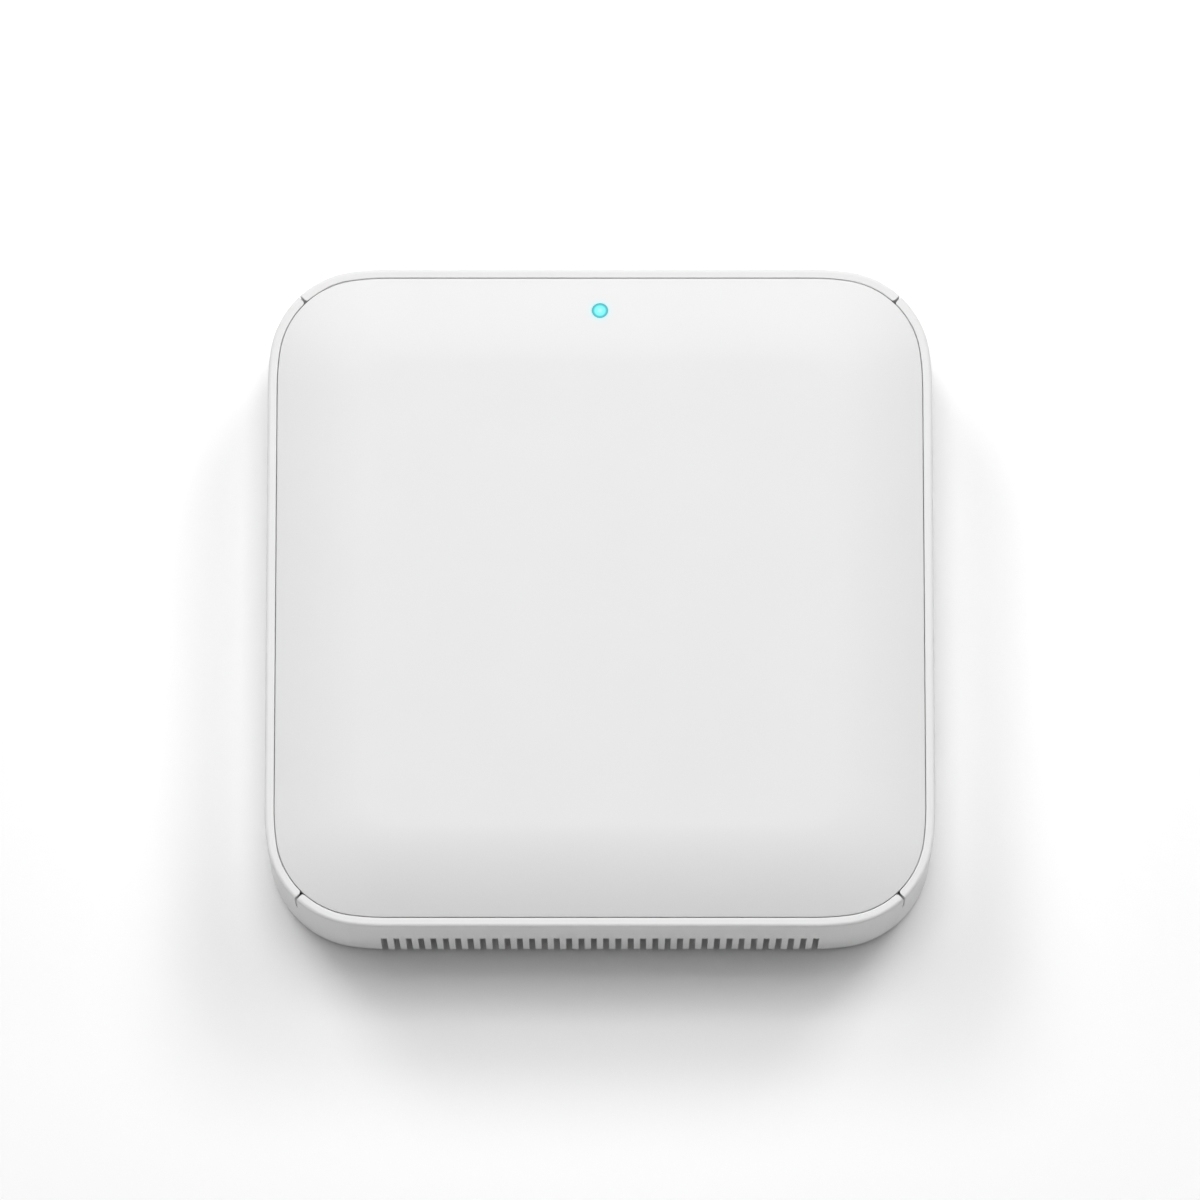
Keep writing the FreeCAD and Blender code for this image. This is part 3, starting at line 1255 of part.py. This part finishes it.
def make_antenna_plugs():
    """The two snap plugs: a round head on the board with a barrel towards its lead."""
    body = new_body("antenna_plugs", several=True)
    places = [lead_plug_place(side) for side in (-1, 1)]
    rounds(body, "plug_heads", places, "Sizes.antenna_plug_diameter", BOARD_TOP, "Sizes.antenna_plug_height")
    sketch = flat_sketch(body, "barrel_outline", f"({LEAD_LEVEL} - Sizes.lead_diameter / 2)")
    for side, (across, along) in zip((-1, 1), places):
        rectangle(sketch, f"({across} + {side} * Sizes.antenna_plug_barrel / 2)", along,
                  "Sizes.antenna_plug_barrel", "(Sizes.lead_diameter + 2 * Sizes.lead_crimp)")
    pad(body, "barrels", sketch, "Sizes.lead_diameter")


make_housing()
make_top_cover()
make_base_plate()
make_base_screws()
make_rubber_feet()
make_rating_label()
make_main_board()
make_board_screws()
make_light_pipe()
make_status_led()
make_light_shield()
make_ethernet_jack_shell()
make_ethernet_jack_insert()
make_ethernet_contacts()
make_ethernet_transformer()
make_usb_c_shell()
make_usb_c_tongue()
make_switch("pair", PAIR_PLACE)
make_switch("reset", RESET_PLACE)
make_pair_button()
make_processor()
make_thermal_pad()
make_heat_spreader()
make_memory_chips()
make_flash_chip()
make_wifi_shield()
make_mesh_radio()
make_crystal()
make_power_inductors()
make_capacitors()
for word, side in (("left", -1), ("right", 1)):
    make_antenna(f"wifi_antenna_{word}", side)
    make_antenna_lead(f"antenna_lead_{word}", side)
make_antenna_plugs()
doc.recompute()

failed = [item.Label for item in doc.Objects if "Invalid" in item.State or "Error" in item.State]
if failed:
    raise RuntimeError(f"These objects failed: {failed}")
os.makedirs("parts", exist_ok=True)
for body in sub_parts:
    if body.Shape.isNull() or not body.Shape.isValid():
        raise RuntimeError(f"{body.Label} has no valid shape")
    body.Shape.exportStep(f"parts/{body.Label}.step")
    solids = body.Shape.Solids
    print(f"{body.Label}: {len(solids)} solids, {body.Shape.Volume:.1f} mm3")
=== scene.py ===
import json
import math

import bmesh
import bpy
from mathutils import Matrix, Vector

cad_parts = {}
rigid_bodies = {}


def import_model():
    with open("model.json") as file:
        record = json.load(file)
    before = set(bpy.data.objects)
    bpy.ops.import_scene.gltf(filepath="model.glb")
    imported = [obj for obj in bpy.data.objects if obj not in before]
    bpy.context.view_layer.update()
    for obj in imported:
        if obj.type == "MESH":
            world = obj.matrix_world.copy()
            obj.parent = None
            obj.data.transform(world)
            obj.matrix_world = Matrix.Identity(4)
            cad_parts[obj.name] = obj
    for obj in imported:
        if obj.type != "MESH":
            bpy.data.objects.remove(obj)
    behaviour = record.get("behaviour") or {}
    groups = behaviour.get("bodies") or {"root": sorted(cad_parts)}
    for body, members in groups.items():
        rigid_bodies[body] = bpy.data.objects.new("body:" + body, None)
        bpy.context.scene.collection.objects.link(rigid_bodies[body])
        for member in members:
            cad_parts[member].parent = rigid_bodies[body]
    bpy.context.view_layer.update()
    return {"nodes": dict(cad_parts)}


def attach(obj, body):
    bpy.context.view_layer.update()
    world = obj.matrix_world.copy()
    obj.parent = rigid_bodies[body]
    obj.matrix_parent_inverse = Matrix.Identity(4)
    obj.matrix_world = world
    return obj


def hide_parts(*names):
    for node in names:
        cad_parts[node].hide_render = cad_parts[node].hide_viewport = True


# Anything already in the file would count as a piece, so it goes before the frame is loaded
for leftover in list(bpy.data.objects):
    bpy.data.objects.remove(leftover)
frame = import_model()

# Sizes in metres, repeated from the part's source
MM = 0.001
HALF_WIDTH = 63.0 * MM
LEAD_RADIUS = 49.2 * MM
CORNER_RADIUS = 18.0 * MM
LEAD_ANGLE = math.radians(8.0)
COVER_INSET = 1.865 * MM
RIM_TOP = 31.2 * MM
LEDGE_TOP = 29.2 * MM
COVER_CROWN = 4.6 * MM
CROWN_BAND = 17.0 * MM
CROWN_POWER = 1.7
CROWN_INSET_SHARE = 0.65
COVER_WALL = 2.0 * MM
FLANGE_WIDTH = 4.0 * MM
LIGHT_INSET = 8.65 * MM
LIGHT_RADIUS = 1.5 * MM
LIGHT_FIT = 0.05 * MM
SLEEVE_RADIUS = 2.8 * MM
SLEEVE_FOOT = 27.2 * MM
SNAP_FACE = HALF_WIDTH - 3.935 * MM
SNAP_THICKNESS = 1.4 * MM
SNAP_FOOT = 25.2 * MM
SNAP_WIDTH = 8.0 * MM
SNAP_SPREAD = 30.0 * MM
HOOK_REACH = 0.9 * MM
HOOK_TOP = 27.5 * MM
HOOK_LIP = 0.4 * MM

COVER_HALF = HALF_WIDTH - COVER_INSET
LIGHT_BORE = LIGHT_RADIUS + LIGHT_FIT
LIGHT_AT = Vector((0.0, HALF_WIDTH - LIGHT_INSET, 0.0))

# How finely the scene's own pieces are drawn
EDGE_ROUND = 0.2 * MM
SHARP_ANGLE = math.radians(32.0)
LEAD_STEPS = 5
BEND_STEPS = 36
CROWN_RINGS = 48
INNER_RINGS = 16
EDGE_RINGS = 6
CIRCLE_STEPS = 96
OVERLAP = 0.5 * MM

# Each finish by the name of its material slot: its colour and roughness, the contrast of its patches,
# then in millimetres the size of the patches, the size of the grain and the grain's depth. Metals say
# how metallic they are, and a drawn one how its grain is stretched
SHELL = (0.757, 0.757, 0.757)
FINISHES = {
    "shell_white": (SHELL, 0.68, 0.006, 20.0, 0.22, 0.006),
    "cover_white": (SHELL, 0.68, 0.006, 20.0, 0.22, 0.006),
    "base_white": ((0.76, 0.76, 0.76), 0.6, 0.012, 15.0, 0.3, 0.01),
    "button_white": ((0.78, 0.78, 0.78), 0.45, 0.008, 3.0, 0.2, 0.004),
    "screw_steel": ((0.35, 0.35, 0.36), 0.32, 0.08, 1.0, 0.2, 0.003, 1.0),
    "foot_rubber": ((0.045, 0.045, 0.047), 0.8, 0.15, 2.0, 0.3, 0.02),
    "label_film": ((0.62, 0.62, 0.62), 0.4, 0.02, 4.0, 0.4, 0.004),
    "board_green": ((0.012, 0.085, 0.035), 0.4, 0.2, 4.0, 0.6, 0.01),
    "lamp": ((0.9, 0.85, 0.6), 0.3, 0.05, 0.5, 0.3, 0.0),
    "dark_rubber": ((0.03, 0.03, 0.03), 0.75, 0.15, 2.0, 0.3, 0.02),
    "tin_plate": ((0.62, 0.62, 0.61), 0.3, 0.05, 4.0, 0.5, 0.004, 1.0),
    "stainless": ((0.55, 0.55, 0.55), 0.28, 0.05, 3.0, 0.4, 0.004, 1.0),
    "black_plastic": ((0.02, 0.02, 0.021), 0.45, 0.15, 3.0, 0.2, 0.006),
    "gold_contact": ((0.9, 0.62, 0.22), 0.22, 0.05, 1.0, 0.3, 0.002, 1.0),
    "chip_black": ((0.022, 0.022, 0.024), 0.6, 0.1, 2.0, 0.2, 0.008),
    "switch_plunger": ((0.6, 0.6, 0.58), 0.45, 0.03, 2.0, 0.3, 0.004),
    "thermal_silicone": ((0.35, 0.42, 0.5), 0.85, 0.06, 2.0, 0.3, 0.02),
    "sink_aluminium": ((0.62, 0.62, 0.64), 0.38, 0.04, 2.0, 0.2, 0.006, 1.0, (1.0, 8.0, 1.0)),
    "ferrite": ((0.05, 0.048, 0.045), 0.7, 0.2, 1.0, 0.2, 0.01),
    "can_aluminium": ((0.7, 0.7, 0.72), 0.3, 0.04, 2.0, 0.3, 0.003, 1.0),
    "antenna_film": ((0.03, 0.03, 0.03), 0.5, 0.1, 2.0, 0.4, 0.005),
    "lead_jacket": ((0.025, 0.025, 0.027), 0.5, 0.1, 2.0, 0.3, 0.006),
}
# The share of a noise texture's range that its features fill, and how far the gloss varies with the grain
NOISE_LOW = 0.3
NOISE_HIGH = 0.7
PATCH_DETAIL = 3.0
GRAIN_DETAIL = 2.0
GLOSS_SPREAD = 0.05

# Colours by the distance from the status light's axis: the window's glow, the painted cyan light that it
# casts on the plastic round it, and a painted glow for the light that the plastic lets through
BLACK = (0.0, 0.0, 0.0)
WHITE = (1.0, 1.0, 1.0)
GLOW_REACH = 3.0 * MM
GLOW_LIFT = 1.5 * MM
WINDOW_BODY = (0.03, 0.05, 0.05)
WINDOW_ROUGHNESS = 0.25
WINDOW_GLOW = [
    (0.0, (0.52, 0.97, 0.92)),
    (0.30 * MM, (0.33, 0.93, 0.86)),
    (0.70 * MM, (0.19, 0.91, 0.88)),
    (1.00 * MM, (0.15, 0.87, 0.88)),
    (1.15 * MM, (0.08, 0.63, 0.69)),
    (1.30 * MM, (0.045, 0.45, 0.50)),
    (LIGHT_RADIUS, (0.03, 0.42, 0.48)),
]
# Painted light: the cover's colour turns cyan close to the window
PAINTED_LIGHT_TINT = [
    (0.0, (0.70, 1.0, 1.0)),
    (1.6 * MM, (0.76, 1.0, 1.0)),
    (1.9 * MM, (0.90, 1.0, 1.0)),
    (2.3 * MM, (0.97, 1.0, 1.0)),
    (GLOW_REACH, WHITE),
]
# Painted glow: the cover's plastic gives off faint cyan light close to the window
PAINTED_PLASTIC_GLOW = [
    (0.0, (0.0, 0.04, 0.05)),
    (1.9 * MM, (0.0, 0.03, 0.045)),
    (2.3 * MM, (0.0, 0.01, 0.02)),
    (GLOW_REACH, BLACK),
]

# The stage, in metres: the floor's own shading starts to fade to plain white at one distance from the
# hub, and has done so at the other
FLOOR_HALF = 4.0
FADE_START = 0.22
FADE_END = 0.45
LAMP_DISTANCE = 1.6
LAMP_SIZE = 0.5
# Each lamp's tilt towards +Y and towards +X in degrees, and its power in watts
LAMPS = [
    ("key", 15, 0, 6.4),
    ("back_left", 40, -25, 6.2),
    ("back_right", 40, 25, 6.2),
    ("high_left", 20, -25, 2.9),
    ("high_right", 20, 25, 2.9),
    ("top_left", 0, -20, 0.65),
    ("top_right", 0, 20, 0.65),
    ("side_left", 20, -65, 1.2),
    ("side_right", 20, 65, 1.2),
    ("top", 0, 0, 3.9),
    ("front_low", -75, 0, 2.2),
]
# The camera looks down from almost straight above, a little in front
CAMERA_TILT = math.radians(9.798)
CAMERA_DISTANCE = 1.417
LOOK_AT = Vector((0.01 * MM, -0.872 * MM, RIM_TOP))
LENS = 225.3
SENSOR_WIDTH = 36.0
CLIP_END = 20.0


# Steps that build node trees

def cleared_tree(owner):
    """The node tree of a material or world, made empty."""
    owner.use_nodes = True
    owner.node_tree.nodes.clear()
    return owner.node_tree


def object_place(tree):
    """The place of a point on the object, in metres."""
    return tree.nodes.new("ShaderNodeTexCoord").outputs["Object"]


def calculate(tree, operation, first, second):
    """The result of a sum on two values, each of which is a socket or a number."""
    node = tree.nodes.new("ShaderNodeMath")
    node.operation = operation
    for socket, value in zip(node.inputs, (first, second)):
        if isinstance(value, float):
            socket.default_value = value
        else:
            tree.links.new(value, socket)
    return node.outputs["Value"]


def vector_step(tree, operation, source, value=None):
    """The outputs of a sum on a vector, with a constant vector where the operation takes one."""
    node = tree.nodes.new("ShaderNodeVectorMath")
    node.operation = operation
    tree.links.new(source, node.inputs[0])
    if value is not None:
        node.inputs[1].default_value = value
    return node.outputs


def mix_colours(tree, blend_type, first, second):
    """A node that mixes two colours, the first a socket or a colour, and the second a socket."""
    node = tree.nodes.new("ShaderNodeMixRGB")
    node.blend_type = blend_type
    node.inputs["Fac"].default_value = 1.0
    if isinstance(first, tuple):
        node.inputs["Color1"].default_value = (*first, 1.0)
    else:
        tree.links.new(first, node.inputs["Color1"])
    tree.links.new(second, node.inputs["Color2"])
    return node


def colour_ramp(tree, source, stops):
    """A colour ramp over a value, as stops of position and colour."""
    node = tree.nodes.new("ShaderNodeValToRGB")
    elements = node.color_ramp.elements
    while len(elements) < len(stops):
        elements.new(1.0)
    for element, (position, colour) in zip(elements, stops):
        element.position = position
        element.color = (*colour, 1.0)
    tree.links.new(source, node.inputs["Fac"])
    return node.outputs["Color"]


def noise(tree, size, detail, stretch=None):
    """Noise whose features are about the given size in millimetres, fixed to the object."""
    source = object_place(tree)
    if stretch is not None:
        mapping = tree.nodes.new("ShaderNodeMapping")
        mapping.inputs["Scale"].default_value = stretch
        tree.links.new(source, mapping.inputs["Vector"])
        source = mapping.outputs["Vector"]
    texture = tree.nodes.new("ShaderNodeTexNoise")
    texture.inputs["Scale"].default_value = 1.0 / (size * MM)
    texture.inputs["Detail"].default_value = detail
    tree.links.new(source, texture.inputs["Vector"])
    return texture.outputs["Fac"]


def map_range(tree, source, low, high):
    """A node that moves the values from low to high into the range from 0 to 1."""
    node = tree.nodes.new("ShaderNodeMapRange")
    node.inputs["From Min"].default_value = low
    node.inputs["From Max"].default_value = high
    tree.links.new(source, node.inputs["Value"])
    return node


def bump(tree, shader, height, depth):
    """Joins a height value to the shader as bump of the given depth in millimetres."""
    node = tree.nodes.new("ShaderNodeBump")
    node.inputs["Strength"].default_value = 1.0
    node.inputs["Distance"].default_value = depth * MM
    tree.links.new(height, node.inputs["Height"])
    tree.links.new(node.outputs["Normal"], shader.inputs["Normal"])


# Materials

def new_material(name):
    """An empty node material with a Principled shader joined to its output."""
    material = bpy.data.materials.new(name + "_finish")
    tree = cleared_tree(material)
    output = tree.nodes.new("ShaderNodeOutputMaterial")
    shader = tree.nodes.new("ShaderNodeBsdfPrincipled")
    tree.links.new(shader.outputs["BSDF"], output.inputs["Surface"])
    return material, tree, shader


def finish_material(name, colour, roughness, contrast, patch, grain, depth, metallic=0.0, stretch=None):
    """A moulded, printed or metal finish: a patchy tone, uneven gloss and a fine grain."""
    material, tree, shader = new_material(name)
    dark = tuple(channel * (1.0 - contrast) for channel in colour)
    light = tuple(channel * (1.0 + contrast) for channel in colour)
    patches = colour_ramp(tree, noise(tree, patch, PATCH_DETAIL), [(NOISE_LOW, dark), (NOISE_HIGH, light)])
    tree.links.new(patches, shader.inputs["Base Color"])
    grain_height = noise(tree, grain, GRAIN_DETAIL, stretch)
    gloss = map_range(tree, grain_height, NOISE_LOW, NOISE_HIGH)
    gloss.inputs["To Min"].default_value = roughness - GLOSS_SPREAD
    gloss.inputs["To Max"].default_value = roughness + GLOSS_SPREAD
    tree.links.new(gloss.outputs["Result"], shader.inputs["Roughness"])
    shader.inputs["Metallic"].default_value = metallic
    if depth > 0.0:
        bump(tree, shader, grain_height, depth)
    return material


def colour_by_distance(tree, reach, stops):
    """A colour ramp over the distance from the status light's upright axis, as stops in metres."""
    offset = vector_step(tree, "SUBTRACT", object_place(tree), LIGHT_AT)["Vector"]
    level = vector_step(tree, "MULTIPLY", offset, (1.0, 1.0, 0.0))["Vector"]
    distance = vector_step(tree, "LENGTH", level)["Value"]
    share = calculate(tree, "DIVIDE", distance, reach)
    return colour_ramp(tree, share, [(stop / reach, colour) for stop, colour in stops])


def glow_with(tree, shader, colour):
    """Joins a colour to the shader as light that the surface gives off."""
    tree.links.new(colour, shader.inputs["Emission Color"])
    shader.inputs["Emission Strength"].default_value = 1.0


def light_up_window():
    """The window glows cyan: palest in the middle, with a deeper ring at its edge."""
    material, tree, shader = new_material("light_window")
    shader.inputs["Base Color"].default_value = (*WINDOW_BODY, 1.0)
    shader.inputs["Roughness"].default_value = WINDOW_ROUGHNESS
    # Only the window's face glows, and not the rod under it
    axes = tree.nodes.new("ShaderNodeSeparateXYZ")
    tree.links.new(object_place(tree), axes.inputs["Vector"])
    face = calculate(tree, "GREATER_THAN", axes.outputs["Z"], RIM_TOP + GLOW_LIFT)
    shown = mix_colours(tree, "MIX", BLACK, colour_by_distance(tree, LIGHT_RADIUS, WINDOW_GLOW))
    tree.links.new(face, shown.inputs["Fac"])
    glow_with(tree, shader, shown.outputs["Color"])
    return material


def paint_status_light_on_cover(material):
    """Paints the status light's cyan on the cover's plastic next to the window: painted light in its colour,
    and a painted glow.
    """
    tree = material.node_tree
    shader = next(node for node in tree.nodes if node.type == "BSDF_PRINCIPLED")
    plain = shader.inputs["Base Color"].links[0].from_socket
    # Painted light: the plastic's colour turns cyan where the status light falls on it
    painted_tint = colour_by_distance(tree, GLOW_REACH, PAINTED_LIGHT_TINT)
    painted_light_mix = mix_colours(tree, "MULTIPLY", plain, painted_tint)
    tree.links.new(painted_light_mix.outputs["Color"], shader.inputs["Base Color"])
    # Painted glow: the plastic gives off a little cyan light next to the window
    glow_with(tree, shader, colour_by_distance(tree, GLOW_REACH, PAINTED_PLASTIC_GLOW))


def assign(piece, material):
    """Gives every material slot of a piece the material, through the object and not its mesh."""
    if not piece.material_slots:
        piece.data.materials.append(material)
    for slot in piece.material_slots:
        slot.link = "OBJECT"
        slot.material = material


# The cover

def add_object(name, data):
    """A new object in the scene."""
    added = bpy.data.objects.new(name, data)
    bpy.context.scene.collection.objects.link(added)
    return added


def finish_mesh(name, mesh):
    """Smooths a bmesh, except for its sharp edges, and puts it in the scene."""
    bmesh.ops.recalc_face_normals(mesh, faces=mesh.faces)
    data = bpy.data.meshes.new(name)
    mesh.to_mesh(data)
    mesh.free()
    data.shade_smooth()
    data.set_sharp_from_angle(angle=SHARP_ANGLE)
    return add_object(name, data)


def quarter_turns(x, y, count):
    """A place turned about the upright axis by a number of right angles."""
    for _ in range(count):
        x, y = y, -x
    return x, y


def outline_ring(inset, scale, height):
    """Points round the hub's outline, set in from the rim's edge, scaled, at a height."""
    lead_excess = LEAD_RADIUS - CORNER_RADIUS
    turn_in = math.cos(LEAD_ANGLE) - math.sin(LEAD_ANGLE)
    begin = scale * (HALF_WIDTH - LEAD_RADIUS + lead_excess * turn_in)
    edge = scale * (HALF_WIDTH - inset)
    lead = scale * (LEAD_RADIUS - inset)
    bend = scale * (CORNER_RADIUS - inset)
    middle = (begin + (lead - bend) * math.sin(LEAD_ANGLE),
              edge - lead + (lead - bend) * math.cos(LEAD_ANGLE))
    quarter = math.pi / 2
    arcs = [
        ((begin, edge - lead), lead, 0.0, LEAD_ANGLE, LEAD_STEPS),
        (middle, bend, LEAD_ANGLE, quarter - LEAD_ANGLE, BEND_STEPS),
        ((edge - lead, begin), lead, quarter - LEAD_ANGLE, quarter, LEAD_STEPS),
    ]
    corner = []
    for (x, y), radius, low, high, steps in arcs:
        for index in range(steps):
            bearing = low + (high - low) * index / steps
            corner.append((x + radius * math.sin(bearing), y + radius * math.cos(bearing)))
    corner.append((edge, begin))
    return [Vector((*quarter_turns(x, y, side), height)) for side in range(4) for x, y in corner]


def crown_ring(depth, height):
    """The cover's outline at a distance in from its edge."""
    inset = CROWN_INSET_SHARE * depth
    return outline_ring(COVER_INSET + inset, (COVER_HALF - depth) / (COVER_HALF - inset), height)


def crown_height(depth):
    """The height of the cover's top at a distance in from its edge."""
    step = 1.0 - depth / CROWN_BAND
    return RIM_TOP + COVER_CROWN * (1.0 - step ** CROWN_POWER)


def circle_ring(radius, height):
    """Points round the status light's upright axis."""
    turns = [2 * math.pi * index / CIRCLE_STEPS for index in range(CIRCLE_STEPS)]
    return [LIGHT_AT + Vector((radius * math.cos(turn), radius * math.sin(turn), height)) for turn in turns]


def join_rings(mesh, rings, looped=False):
    """Walls of quads from ring to ring, closed by a flat face at each end, or by walls from last to first."""
    rows = [[mesh.verts.new(point) for point in ring] for ring in rings]
    following_rows = rows[1:] + rows[:1] if looped else rows[1:]
    for upper, lower in zip(rows, following_rows):
        for index in range(len(upper)):
            following = (index + 1) % len(upper)
            mesh.faces.new((upper[index], upper[following], lower[following], lower[index]))
    if not looped:
        mesh.faces.new(rows[0])
        mesh.faces.new(rows[-1])


def add_snaps(mesh):
    """Eight arms under the cover's edge, two on each side, that hook outwards."""
    inner = SNAP_FACE - SNAP_THICKNESS
    tip = SNAP_FACE + HOOK_REACH
    top = LEDGE_TOP + OVERLAP
    profile = [(SNAP_FACE, top), (inner, top), (inner, SNAP_FOOT), (SNAP_FACE, SNAP_FOOT),
               (tip, HOOK_TOP - HOOK_LIP), (tip, HOOK_TOP), (SNAP_FACE, HOOK_TOP)]
    for turn in range(4):
        for middle in (-SNAP_SPREAD, SNAP_SPREAD):
            ends = []
            for across in (middle - SNAP_WIDTH / 2, middle + SNAP_WIDTH / 2):
                ends.append([Vector((*quarter_turns(across, out, turn), height)) for out, height in profile])
            join_rings(mesh, ends)


def add_sleeve(mesh):
    """The sleeve under the cover that the light pipe stands in."""
    top = crown_height(COVER_HALF - LIGHT_AT.y) - COVER_WALL / 2
    join_rings(mesh, [circle_ring(SLEEVE_RADIUS, top), circle_ring(SLEEVE_RADIUS, SLEEVE_FOOT),
                      circle_ring(LIGHT_BORE, SLEEVE_FOOT), circle_ring(LIGHT_BORE, top)], looped=True)


def cut(piece, cutter):
    """The mesh that is left when the cutter's shape is taken out of a piece."""
    modifier = piece.modifiers.new("cut", "BOOLEAN")
    modifier.operation = "DIFFERENCE"
    modifier.solver = "EXACT"
    modifier.object = cutter
    depsgraph = bpy.context.evaluated_depsgraph_get()
    data = bpy.data.meshes.new_from_object(piece.evaluated_get(depsgraph))
    bpy.data.objects.remove(piece)
    bpy.data.objects.remove(cutter)
    mesh = bmesh.new()
    mesh.from_mesh(data)
    return mesh


def cover_rings():
    """The rings of the cover's skin, from its flat middle out over the crown and back underneath."""
    slope = math.atan(CROWN_POWER * COVER_CROWN / CROWN_BAND)
    round_sweep = math.pi / 2 - slope
    round_reach = EDGE_ROUND * math.tan(round_sweep / 2)
    round_start = round_reach * math.cos(slope)
    rings = []
    # From the flat middle out to where the edge's small round starts
    for index in range(CROWN_RINGS + 1):
        depth = round_start + (CROWN_BAND - round_start) * (1.0 - index / CROWN_RINGS)
        rings.append(crown_ring(depth, crown_height(depth)))
    # Round the edge and down to the ledge
    centre_height = RIM_TOP - round_reach
    for index in range(1, EDGE_RINGS + 1):
        angle = round_sweep - round_sweep * index / EDGE_RINGS
        rings.append(crown_ring(EDGE_ROUND - EDGE_ROUND * math.cos(angle),
                                centre_height + EDGE_ROUND * math.sin(angle)))
    rings.append(crown_ring(0.0, LEDGE_TOP))
    rings.append(crown_ring(FLANGE_WIDTH, LEDGE_TOP))
    # Under the crown, a wall's thickness below its top
    for index in range(INNER_RINGS + 1):
        depth = FLANGE_WIDTH + (CROWN_BAND - FLANGE_WIDTH) * index / INNER_RINGS
        rings.append(crown_ring(depth, crown_height(depth) - COVER_WALL))
    return rings


def make_cover():
    """The crowned cover with a softened edge, hollow underneath, and what hangs from it."""
    skin = bmesh.new()
    join_rings(skin, cover_rings())
    # The light's hole goes through from well below the cover to well above it
    hole = bmesh.new()
    join_rings(hole, [circle_ring(LIGHT_BORE, 0.0), circle_ring(LIGHT_BORE, 2 * RIM_TOP)])
    mesh = cut(finish_mesh("solid_cover", skin), finish_mesh("hole", hole))
    add_snaps(mesh)
    add_sleeve(mesh)
    cover = finish_mesh("cover", mesh)
    assign(cover, materials["cover_white"])
    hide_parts("top_cover")
    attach(cover, "hub")


# The stage: a pale floor that turns plain white far out, softboxes, and a white sky that lights nothing

def seen_directly(tree):
    """1 for what the camera sees, also in metal and through glass, and 0 for light that falls on things."""
    rays = tree.nodes.new("ShaderNodeLightPath").outputs
    mirrored = calculate(tree, "MAXIMUM", rays["Is Glossy Ray"], rays["Is Transmission Ray"])
    return calculate(tree, "MAXIMUM", rays["Is Camera Ray"], mirrored)


def make_floor():
    """A white floor that keeps the hub's shadow, and is plain white beyond it where it is seen directly."""
    mesh = bpy.data.meshes.new("floor")
    corners = [(x * FLOOR_HALF, y * FLOOR_HALF, 0.0) for x, y in ((-1, -1), (1, -1), (1, 1), (-1, 1))]
    mesh.from_pydata(corners, [], [(0, 1, 2, 3)])
    floor = add_object("floor", mesh)
    material = bpy.data.materials.new("floor")
    tree = cleared_tree(material)
    output = tree.nodes.new("ShaderNodeOutputMaterial")
    diffuse = tree.nodes.new("ShaderNodeBsdfDiffuse")
    diffuse.inputs["Color"].default_value = (*WHITE, 1.0)
    plain = tree.nodes.new("ShaderNodeEmission")
    distance = vector_step(tree, "LENGTH", object_place(tree))["Value"]
    fade = map_range(tree, distance, FADE_START, FADE_END)
    fade.interpolation_type = "SMOOTHSTEP"
    blend = tree.nodes.new("ShaderNodeMixShader")
    share = calculate(tree, "MULTIPLY", fade.outputs["Result"], seen_directly(tree))
    tree.links.new(share, blend.inputs["Fac"])
    tree.links.new(diffuse.outputs["BSDF"], blend.inputs[1])
    tree.links.new(plain.outputs["Emission"], blend.inputs[2])
    tree.links.new(blend.outputs["Shader"], output.inputs["Surface"])
    floor.data.materials.append(material)


def add_lamps():
    """Square softboxes on a sphere round the hub, each facing it."""
    for name, tilt_back, tilt_side, power in LAMPS:
        back = math.radians(tilt_back)
        side = math.radians(tilt_side)
        towards = Vector((math.sin(side), math.sin(back) * math.cos(side), math.cos(back) * math.cos(side)))
        light = bpy.data.lights.new(name, "AREA")
        light.shape = "SQUARE"
        light.size = LAMP_SIZE
        light.energy = power
        lamp = add_object(name, light)
        lamp.location = LAMP_DISTANCE * towards
        lamp.rotation_euler = towards.to_track_quat("Z", "Y").to_euler()


def make_sky():
    """A white sky that shows behind the hub and in its metal, and lights nothing."""
    world = bpy.data.worlds.new("sky")
    bpy.context.scene.world = world
    tree = cleared_tree(world)
    output = tree.nodes.new("ShaderNodeOutputWorld")
    sky = tree.nodes.new("ShaderNodeBackground")
    sky.inputs["Color"].default_value = (*WHITE, 1.0)
    tree.links.new(seen_directly(tree), sky.inputs["Strength"])
    tree.links.new(sky.outputs["Background"], output.inputs["Surface"])


def add_camera():
    """The camera at the photograph's viewing angle."""
    lens = bpy.data.cameras.new("camera")
    lens.lens = LENS
    lens.sensor_width = SENSOR_WIDTH
    lens.clip_end = CLIP_END
    camera = add_object("camera", lens)
    camera.location = LOOK_AT + CAMERA_DISTANCE * Vector((0.0, -math.sin(CAMERA_TILT), math.cos(CAMERA_TILT)))
    camera.rotation_euler = (CAMERA_TILT, 0.0, 0.0)
    bpy.context.scene.camera = camera


materials = {name: finish_material(name, *finish) for name, finish in FINISHES.items()}
materials["light_window"] = light_up_window()
# Paints the status light's cyan light and glow on the cover round the window
paint_status_light_on_cover(materials["cover_white"])
for node in frame["nodes"].values():
    slot_name = node.material_slots[0].material.name.split(".")[0]
    assign(node, materials[slot_name])
make_cover()
make_floor()
add_lamps()
make_sky()
add_camera()

bpy.context.scene.view_settings.view_transform = "Standard"

bpy.context.view_layer.update()
